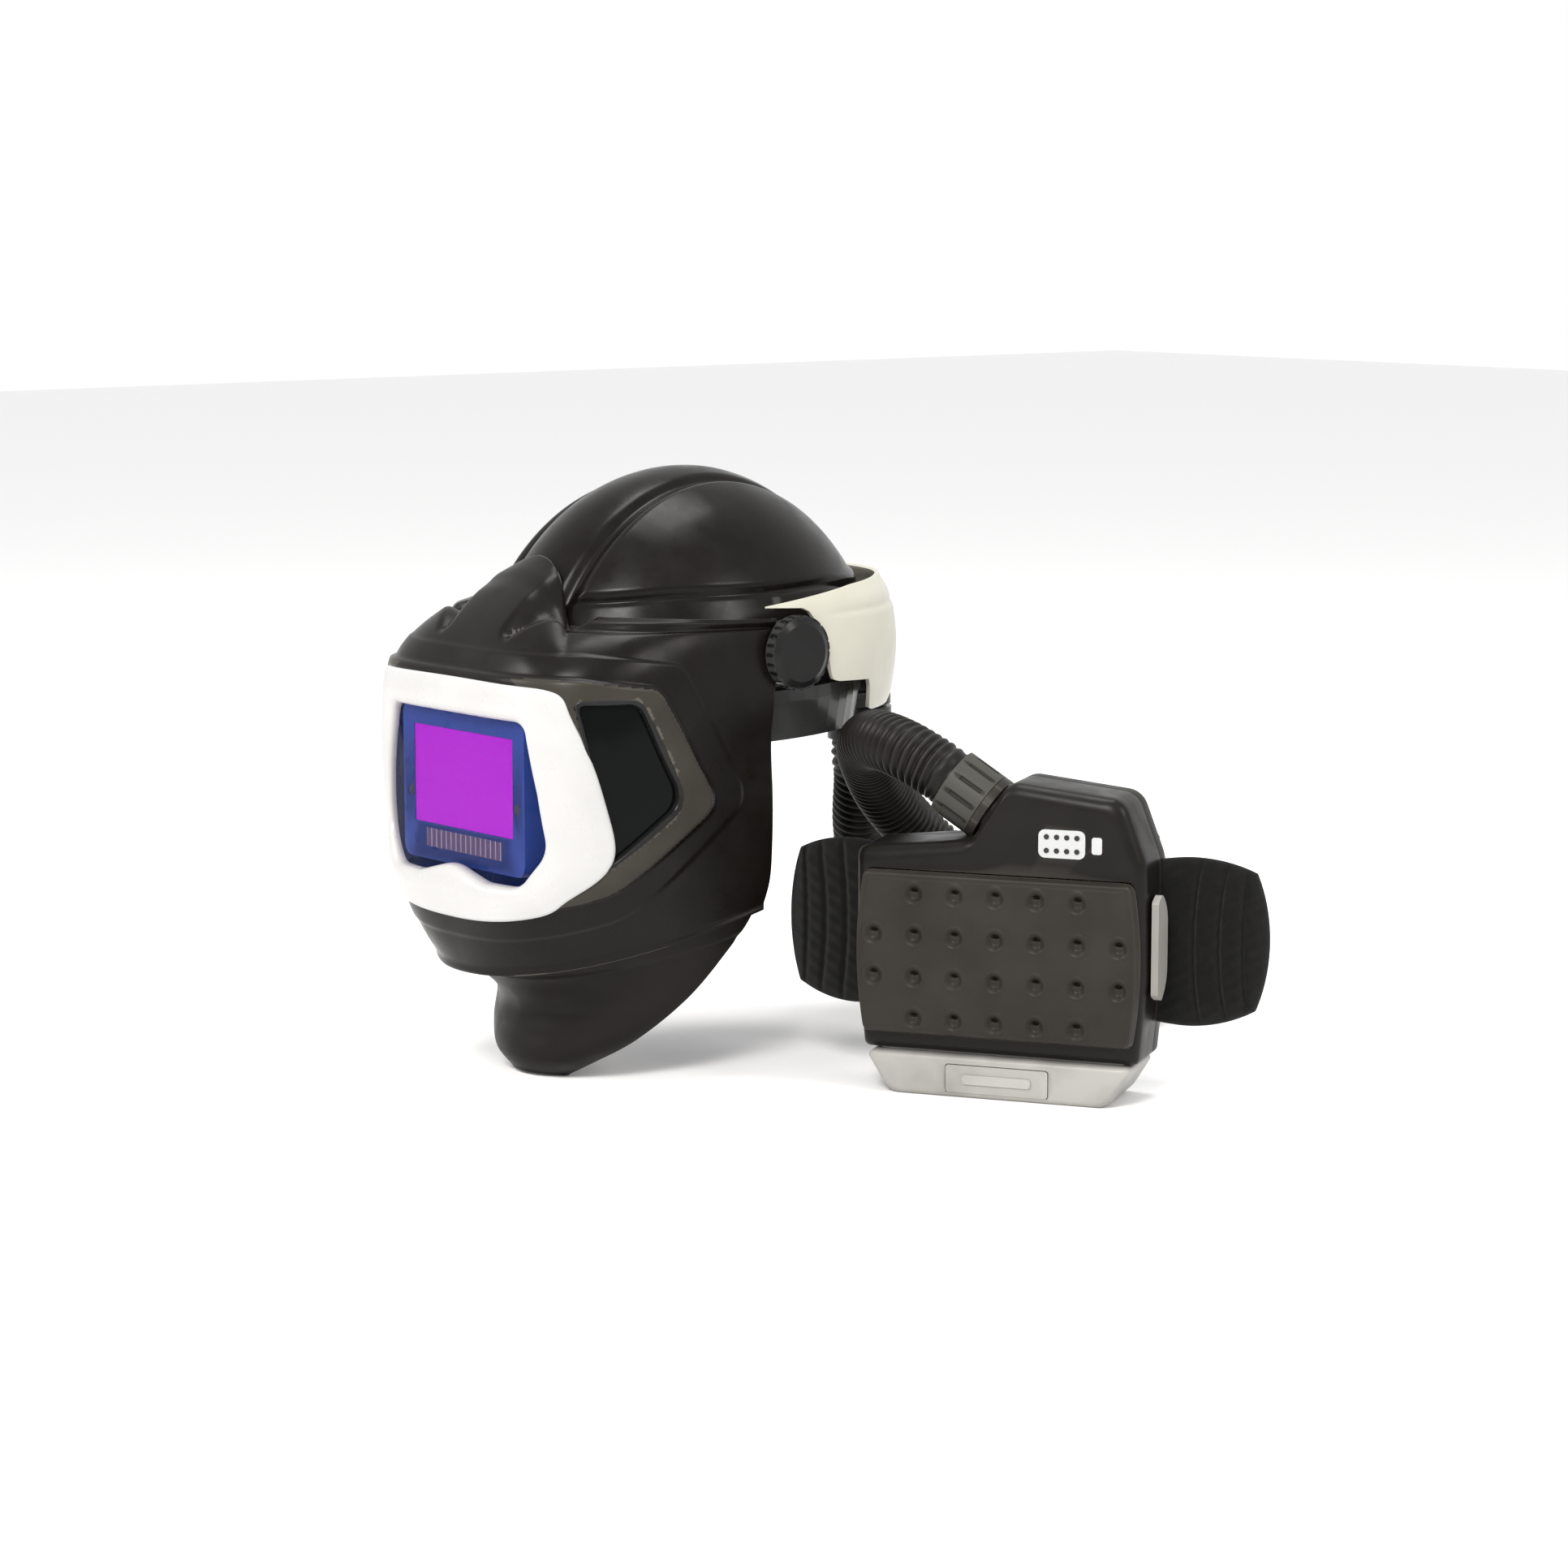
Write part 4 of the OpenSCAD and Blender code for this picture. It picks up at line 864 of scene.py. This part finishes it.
ca = np.linspace(0.02, math.pi - 0.02, 420)
cols_y = cover_xyz(ca, np.full_like(ca, 285.0))[:, 1]
sel = ca[cols_y > -25.5]
low_z = np.interp(cover_xyz(sel, np.full_like(sel, 270.0))[:, 1], *zip(*COVER_LOW))
high_z = np.interp(cover_xyz(sel, np.full_like(sel, 300.0))[:, 1], *zip(*COVER_HIGH))
s = np.linspace(0, 1, 46)[:, None]
cover_pts = cover_xyz(np.broadcast_to(sel, (46, len(sel))), low_z * (1 - s) + high_z * s)
cn = normals(cover_pts)
if cn[20, len(sel) // 2, 1] < 0:
    cn = -cn
belt_line = np.exp(-(((cover_pts[..., 2] - 291) / 2.0) ** 2)) * step(cover_pts[..., 1], 20, 50)
cover_pts = cover_pts - cn * (0.9 * belt_line)[..., None]
rear = recalc(mesh_object("rear_cover", cover_pts.reshape(-1, 3), grid_faces(46, len(sel)), in_helmet))
plate(rear, 2.6, 1.0)
fixed(rear, "root", "cover_cream", cream_mat, "rear_cover")

# ---------- blower ----------
HALF, FRONT, BACK_Y, BATTERY_H = 93.0, -28.0, 27.0, 26.0
AROUND = np.linspace(0, 2 * math.pi, 520, endpoint=False)
MIDDLE = (4.0, 96.0)


def housing_outline(m):
    return rounded([
        (-HALF + 5 + m, BATTERY_H + 1 + m, 4),
        (HALF - 5 - m, BATTERY_H + 1 + m, 4),
        (HALF - m, 80, 60),
        (HALF - 1 - m, 150, 30),
        (HALF - 16 - m, 190 - m, 14),
        (5, 198 - m, 12),
        (-19, 161 - m, 14),
        (-HALF + m, 153 - m, 7),
        (-HALF + m, 80, 60),
    ])


def ring_at(outline, y, centre_xz=MIDDLE):
    p = star(outline, centre_xz, AROUND)
    return np.stack([p[:, 0], np.full(len(p), y), p[:, 1]], -1)


def eased(a, b, n):
    """Loops between two loops, for flat faces."""
    return [a * (1 - k / n) + b * k / n for k in range(1, n)]


front_loops = [ring_at(housing_outline(3), 9.7), ring_at(housing_outline(0), 9.7), ring_at(housing_outline(0), 4)]
front_loops += [ring_at(housing_outline(0), y) for y in (-2, -8, -14)]
R_EDGE = 9.0
for k in range(1, 13):
    q = k / 12 * math.pi / 2
    front_loops.append(ring_at(housing_outline(R_EDGE * (1 - math.cos(q))), FRONT + R_EDGE - R_EDGE * math.sin(q)))
BAY = rounded([(-86, 38, 5), (86, 38, 5), (86, 141, 5), (-86, 141, 5)])
bay_edge = star(BAY, MIDDLE, AROUND)
rim_edge = ring_at(housing_outline(R_EDGE), FRONT)
bay_top = np.stack([bay_edge[:, 0], np.full(len(bay_edge), FRONT), bay_edge[:, 1]], -1)
front_loops += eased(rim_edge, bay_top, 5) + [bay_top]
for y in (-26, -20, -12, -2.5):
    front_loops.append(np.stack([bay_edge[:, 0], np.full(len(bay_edge), y), bay_edge[:, 1]], -1))
hole_ring = np.stack([8 + 26 * np.cos(AROUND), np.full(len(AROUND), -2.0), 92 + 26 * np.sin(AROUND)], -1)
front_loops += eased(front_loops[-1], hole_ring, 6) + [hole_ring, hole_ring + np.array([0, 2.4, 0])]
front_h = recalc(loft("front_housing", front_loops, in_blower))
fixed(front_h, "root", "housing_black", housing_mat, "front_housing")


def cut_through(ob, outline, near, far):
    """Cuts a straight opening with the given outline in the blower's X and Z."""
    ends = [[(x, y, z) for x, z in outline] for y in (near, far)]
    tool = recalc(loft("opening_tool", ends, in_blower, cap_start=True, cap_end=True))
    modify(ob, "BOOLEAN", operation="DIFFERENCE", solver="EXACT", object=tool)
    solid = ob.evaluated_get(bpy.context.evaluated_depsgraph_get())
    mesh = bpy.data.meshes.new_from_object(solid)
    ob.modifiers.clear()
    ob.data = mesh
    mesh.set_sharp_from_angle(angle=math.radians(40))
    bpy.data.objects.remove(tool)


# The keypad and the status light sit in openings
KEYPAD_HOLE = rounded([(25, 153, 4), (55, 153, 4), (55, 171, 4), (25, 171, 4)])
LIGHT_HOLE = rounded([(58.6, 156.6, 1.5), (65.4, 156.6, 1.5), (65.4, 167.4, 1.5), (58.6, 167.4, 1.5)])
cut_through(front_h, KEYPAD_HOLE, -40, -20)
cut_through(front_h, LIGHT_HOLE, -40, -20)

back_loops = [ring_at(housing_outline(3), 10.2), ring_at(housing_outline(0.2), 10.0), ring_at(housing_outline(0), 10.6)]
for k in range(0, 11):
    q = k / 10 * math.pi / 2
    back_loops.append(ring_at(housing_outline(6 * (1 - math.cos(q))), BACK_Y - 6 + 6 * math.sin(q)))
back_middle = rounded([(-2, 90, 2), (10, 90, 2), (10, 102, 2), (-2, 102, 2)])
back_loops += eased(back_loops[-1], ring_at(back_middle, BACK_Y), 8)
back_h = recalc(loft("back_housing", back_loops, in_blower, cap_end=True))
fixed(back_h, "root", "housing_black", housing_mat, "back_housing")

# The filter cover's dished face, with its rows of hooded dimples
PITCH = 26.0
nz, nx = 206, 360
u = np.linspace(-1, 1, nx)
zz = np.linspace(38.4, 140.6, nz)
U, Z = np.meshgrid(u, zz, indexing="ij")
U, Z = U.T, Z.T
edge_d = np.minimum(Z - 38.4, 140.6 - Z)
half_w = 85.6 + 5.0 * np.sin(np.clip((Z - 38.4) / 102.2, 0, 1) * math.pi) ** 0.8
corner_r = 5.0
corner_in = corner_r - np.sqrt(np.maximum(corner_r**2 - (corner_r - edge_d) ** 2, 0))
half_w = half_w - np.where(edge_d < corner_r, corner_in, 0)
X = U * half_w
side_d = half_w - np.abs(X)
rim_d = np.minimum(edge_d, side_d)
Y = -36.0 + 5.4 * (1 - step(rim_d, 0, 2.6)) ** 1.6 + 0.5 * (1 - step(rim_d, 3.5, 6.0))
for row in range(4):
    count = 2 if row % 3 == 0 else 3
    for k in range(-count, count + 1):
        dx, dz = X - k * PITCH, Z - (127 - row * PITCH)
        rho = np.hypot(dx, dz)
        Y += 2.6 * (1 - step(rho, 2.0, 6.2)) - 0.5 * np.exp(-(((rho - 6.8) / 1.0) ** 2))
        Y += 3.0 * (1 - step(np.hypot(dx, (dz - 2.2) * 1.5), 1.2, 2.4))
lid = recalc(mesh_object("filter_cover", np.stack([X, Y, Z], -1).reshape(-1, 3), grid_faces(nz, nx), in_blower))
plate(lid, 2.0, 0)
fixed(lid, "filter_cover", "cover_grey", cover_mat, "filter_cover")

# Battery with a shallow recess for its latch, and the tongue that slides into the housing
LATCH_HOLE = rounded([(-33, 3, 2), (33, 3, 2), (33, 21, 2), (-33, 21, 2)])


def battery_outline(m):
    return rounded([(-70 + m, m, 14 - m * 0.6), (70 - m, m, 14 - m * 0.6), (86 - m * 1.2, BATTERY_H - m, 3),
                    (-86 + m * 1.2, BATTERY_H - m, 3)])


BC = (0.0, 12.0)
b_loops = [ring_at(rounded([(-3, 11, 0.5), (3, 11, 0.5), (3, 13, 0.5), (-3, 13, 0.5)]), 26, BC)]
b_loops += eased(b_loops[0], ring_at(battery_outline(3), 26, BC), 5)
for k in range(0, 9):
    q = k / 8 * math.pi / 2
    b_loops.append(ring_at(battery_outline(3 * (1 - math.sin(q))), 23 + 3 * math.cos(q), BC))
b_loops += [ring_at(battery_outline(0), y, BC) for y in (15, 0, -15)]
for k in range(0, 9):
    q = k / 8 * math.pi / 2
    b_loops.append(ring_at(battery_outline(3.5 * (1 - math.cos(q))), -25.5 - 3.5 * math.sin(q), BC))
recess = ring_at(LATCH_HOLE, -29, BC)
b_loops += eased(b_loops[-1], recess, 5) + [recess, recess + np.array([0, 0.4, 0]), recess + np.array([0, 3.2, 0])]
recess_middle = rounded([(-3, 11, 0.5), (3, 11, 0.5), (3, 13, 0.5), (-3, 13, 0.5)])
b_loops += eased(b_loops[-1], ring_at(recess_middle, -25.8, BC), 4)
battery = recalc(loft("battery_case", b_loops, in_blower, cap_start=True, cap_end=True))
fixed(battery, "battery", "battery_grey", battery_mat, "battery_pack")
tongue_out = rounded([(-78, -20, 3), (78, -20, 3), (78, 20, 3), (-78, 20, 3)])
tongue = []
for z, m in ((25, 0), (29.2, 0), (29.8, 0.3), (30, 0.9)):
    o = tongue_out * (1 - m / 60)
    tongue.append(np.stack([o[:, 0], o[:, 1], np.full(len(o), z)], -1))
tongue_ob = recalc(loft("battery_tongue", tongue, in_blower, cap_start=True, cap_end=True))
fixed(tongue_ob, "battery", "battery_grey", battery_mat)


# ---------- belt pads ----------
def pad_mesh(name, m, node):
    """A stuffed belt lobe: crowned, pulled in at its edges and sewn across in three channels."""
    n_u, n_v = 150, 150
    lx, hx, lz, hz = 62.0, 156.0, 45.5, 151.0
    uu, vv = np.meshgrid(np.linspace(-1, 1, n_u), np.linspace(-1, 1, n_v), indexing="ij")
    # square to rounded rectangle
    pu = uu * np.sqrt(1 - 0.30 * vv**2 * (uu > 0))
    pv = vv * np.sqrt(1 - 0.34 * uu**2 * (uu > 0))
    x = (lx + hx) / 2 + pu * (hx - lx) / 2
    z = (lz + hz) / 2 + pv * (hz - lz) / 2 * (0.93 + 0.07 * step(x, 70, 110))
    edge = np.minimum(1 - np.abs(uu), 1 - np.abs(vv))
    crown = (1 - (1 - np.clip(edge / 0.42, 0, 1)) ** 2) ** 0.5
    seams = np.zeros_like(x)
    for sx, bow in ((112, 4), (127, 5), (141, 3)):
        line = sx + bow * ((z - 98) / 50) ** 2
        seams += np.exp(-(((x - line) / 1.7) ** 2))
    wrinkle = 0.5 * np.sin(z * 0.33 + x * 0.21) * np.sin(x * 0.16) + 0.35 * np.sin(z * 0.71 - x * 0.4)
    mid_y = 16 + 16 * (np.maximum(0, x - 80) / 77) ** 2
    halfway = 7.2 * crown * (1 - 0.30 * np.clip(seams, 0, 1)) + wrinkle * crown * 0.6
    front_y = mid_y - np.maximum(halfway, 0.25)
    back_y = mid_y + np.maximum(6.6 * crown - 0.4 * wrinkle * crown, 0.25)
    a = np.stack([m * x, front_y, z], -1).reshape(-1, 3)
    b = np.stack([m * x, back_y, z], -1).reshape(-1, 3)
    f = grid_faces(n_u, n_v) + grid_faces(n_u, n_v, flip=True, start=n_u * n_v)
    rim = list(range(n_v)) + [r * n_v + n_v - 1 for r in range(1, n_u)]
    rim += [(n_u - 1) * n_v + c for c in range(n_v - 2, -1, -1)] + [r * n_v for r in range(n_u - 2, 0, -1)]
    off = n_u * n_v
    for k in range(len(rim)):
        i, j = rim[k], rim[(k + 1) % len(rim)]
        f.append([i, j, j + off, i + off])
    ob = recalc(mesh_object(name, np.vstack([a, b]), f, in_blower))
    modify(ob, "SMOOTH", factor=0.4, iterations=2)
    fixed(ob, "root", "pad_black", pad_mat, node)
    return ob


pad_mesh("belt_pad_left", -1, "belt_pad_left")
pad_mesh("belt_pad_right", 1, "belt_pad_right")

# ---------- belt webbing ----------
BELT = [(129, 33.6), (138, 42), (142, 55), (135, 69), (112, 76), (60, 79), (0, 80)]
for m, label in ((1, "right"), (-1, "left")):
    line = smooth_at(BELT, np.linspace(0, 6, 300))
    line = line[line[:, 0] > 24.2]
    wz = np.linspace(-23.6, 23.6, 26)
    ribs = 0.12 * np.sin(wz * 2.2)
    d = unit(np.gradient(line, axis=0))
    nrm = np.stack([d[:, 1], -d[:, 0]], -1)
    q = line[:, None, :] + nrm[:, None, :] * ribs[None, :, None]
    pts = np.stack([m * q[..., 0], q[..., 1], np.broadcast_to(98 + wz, q.shape[:2])], -1)
    strap = recalc(mesh_object(f"belt_webbing_{label}", pts.reshape(-1, 3), grid_faces(*q.shape[:2]), in_blower))
    plate(strap, 2.2, 0.5, offset=0)
    fixed(strap, "root", "webbing_black", web_mat, "belt_webbing")


# ---------- head pads ----------
def arc_pad(name, node, a0, a1, z0, z1, thick):
    """A soft strip inside the headband, crowned towards the head and stitched across."""
    nu, nv = 140, 40
    aa, vv = np.meshgrid(np.linspace(a0, a1, nu), np.linspace(-1, 1, nv), indexing="ij")
    e = np.minimum((1 - np.abs(np.linspace(-1, 1, nu)))[:, None] * 8, 1 - np.abs(vv))
    crown = np.sqrt(np.clip(1 - (1 - np.clip(e / 0.5, 0, 1)) ** 2, 0, 1))
    stitch = np.abs(np.sin(np.linspace(0, 9 * math.pi, nu)))[:, None] ** 0.5
    depth = thick * (0.25 + 0.75 * crown * (0.7 + 0.3 * stitch))
    zc = (z0 + z1) / 2 + vv * (z1 - z0) / 2
    outer_p = np.stack([79.0 * np.cos(aa), 8 + 98.0 * np.sin(aa), zc], -1)
    inner_p = np.stack([(79.0 - depth) * np.cos(aa), 8 + (98.0 - depth) * np.sin(aa), zc], -1)
    f = grid_faces(nu, nv) + grid_faces(nu, nv, flip=True, start=nu * nv)
    rim = list(range(nv)) + [r * nv + nv - 1 for r in range(1, nu)]
    rim += [(nu - 1) * nv + c for c in range(nv - 2, -1, -1)] + [r * nv for r in range(nu - 2, 0, -1)]
    for k in range(len(rim)):
        i, j = rim[k], rim[(k + 1) % len(rim)]
        f.append([i, j, j + nu * nv, i + nu * nv])
    ob = recalc(mesh_object(name, np.vstack([outer_p.reshape(-1, 3), inner_p.reshape(-1, 3)]), f, in_helmet))
    fixed(ob, "root", "foam_grey", foam_mat, node)
    return ob


arc_pad("sweatband", "sweatband", math.radians(200), math.radians(340), 234, 266, 5.0)
arc_pad("nape_pad", "nape_pad", math.radians(62), math.radians(118), 234, 268, 6.0)

# ---------- CAD pieces that keep their shape ----------
FINISH = {
    "hat_rim_trim": rubber_mat,
    "headband": black_mat,
    "crown_straps": web_mat,
    "ratchet_housing": black_mat,
    "ratchet_knob": black_mat,
    "nape_frame": gloss_mat,
    "pivot_brackets": black_mat,
    "pivot_pins": steel_mat,
    "pivot_knob_left": gloss_mat,
    "pivot_knob_right": gloss_mat,
    "air_duct": gloss_mat,
    "inlet_port": gloss_mat,
    "visor_hubs": black_mat,
    "filter_body": cassette_mat,
    "filter_glass": magenta_mat,
    "solar_cell": solar_mat,
    "light_sensors": gloss_mat,
    "filter_coin_cells": steel_mat,
    "shade_button": button_mat,
    "sensitivity_button": button_mat,
    "delay_button": button_mat,
    "inner_plate": clear_mat,
    "helmet_cuff": gloss_mat,
    "blower_cuff": cuff_mat,
    "outlet_port": housing_mat,
    "spark_arrestor": wire_mat,
    "particle_filter": paper_mat,
    "filter_gasket": rubber_mat,
    "fan_volute": fan_mat,
    "impeller": fan_mat,
    "fan_motor": steel_mat,
    "circuit_board": board_mat,
    "keypad": white_mat,
    "status_light": white_mat,
    "cover_latch": latch_mat,
    "battery_latch": battery_mat,
    "housing_screws": steel_mat,
    "buckle_socket": black_mat,
    "buckle_plug": black_mat,
}
for node, mat in FINISH.items():
    ob = NODES[node]
    ob.data.materials.clear()
    ob.data.materials.append(mat)

# The keypad's eight raised buttons are dark
keypad = NODES["keypad"]
keypad.data.materials.append(black_mat)
for face in keypad.data.polygons:
    spot = keypad.matrix_world @ face.center
    if spot.y * math.cos(BLOWER_TURN) - spot.x * math.sin(BLOWER_TURN) < -0.02865:
        face.material_index = 1

# ---------- floor and light ----------
floor_mesh = bpy.data.meshes.new("floor")
floor_mesh.from_pydata([(-8, -8, 0), (8, -8, 0), (8, 8, 0), (-8, 8, 0)], [], [(0, 1, 2, 3)])
floor = bpy.data.objects.new("floor", floor_mesh)
bpy.context.scene.collection.objects.link(floor)
floor_shader = Shader("floor", (0.87, 0.87, 0.87), 0.7)
floor_shader.rough_from(floor_shader.grey(floor_shader.noise(30, 3), 0.6, 0.8))
floor_mesh.materials.append(floor_shader.mat)


def area_light(name, place, aim, size, power, color=(1, 1, 1)):
    data = bpy.data.lights.new(name, "AREA")
    data.shape = "RECTANGLE"
    data.size, data.size_y = size
    data.energy = power
    data.color = color
    ob = bpy.data.objects.new(name, data)
    bpy.context.scene.collection.objects.link(ob)
    ob.location = place
    ob.rotation_euler = (Vector(aim) - Vector(place)).to_track_quat("-Z", "Y").to_euler()


area_light("key", (0.85, -1.55, 1.65), (-0.2, 0, 0.2), (0.7, 0.7), 48, (1, 0.97, 0.93))
area_light("left", (-1.2, -1.9, 1.3), (-0.2, 0, 0.2), (0.7, 0.9), 25, (1, 0.97, 0.94))
area_light("side", (1.9, 0.6, 1.5), (-0.1, 0, 0.15), (0.6, 0.9), 20, (1, 0.96, 0.91))
area_light("top", (-0.3, 0.2, 2.3), (-0.2, 0, 0.2), (1.0, 1.0), 26)
bpy.context.scene.view_settings.view_transform = "Standard"
world = bpy.data.worlds.new("world")
world.use_nodes = True
world.node_tree.nodes["Background"].inputs["Color"].default_value = (1, 1, 1, 1)
world.node_tree.nodes["Background"].inputs["Strength"].default_value = 1.0
bpy.context.scene.world = world
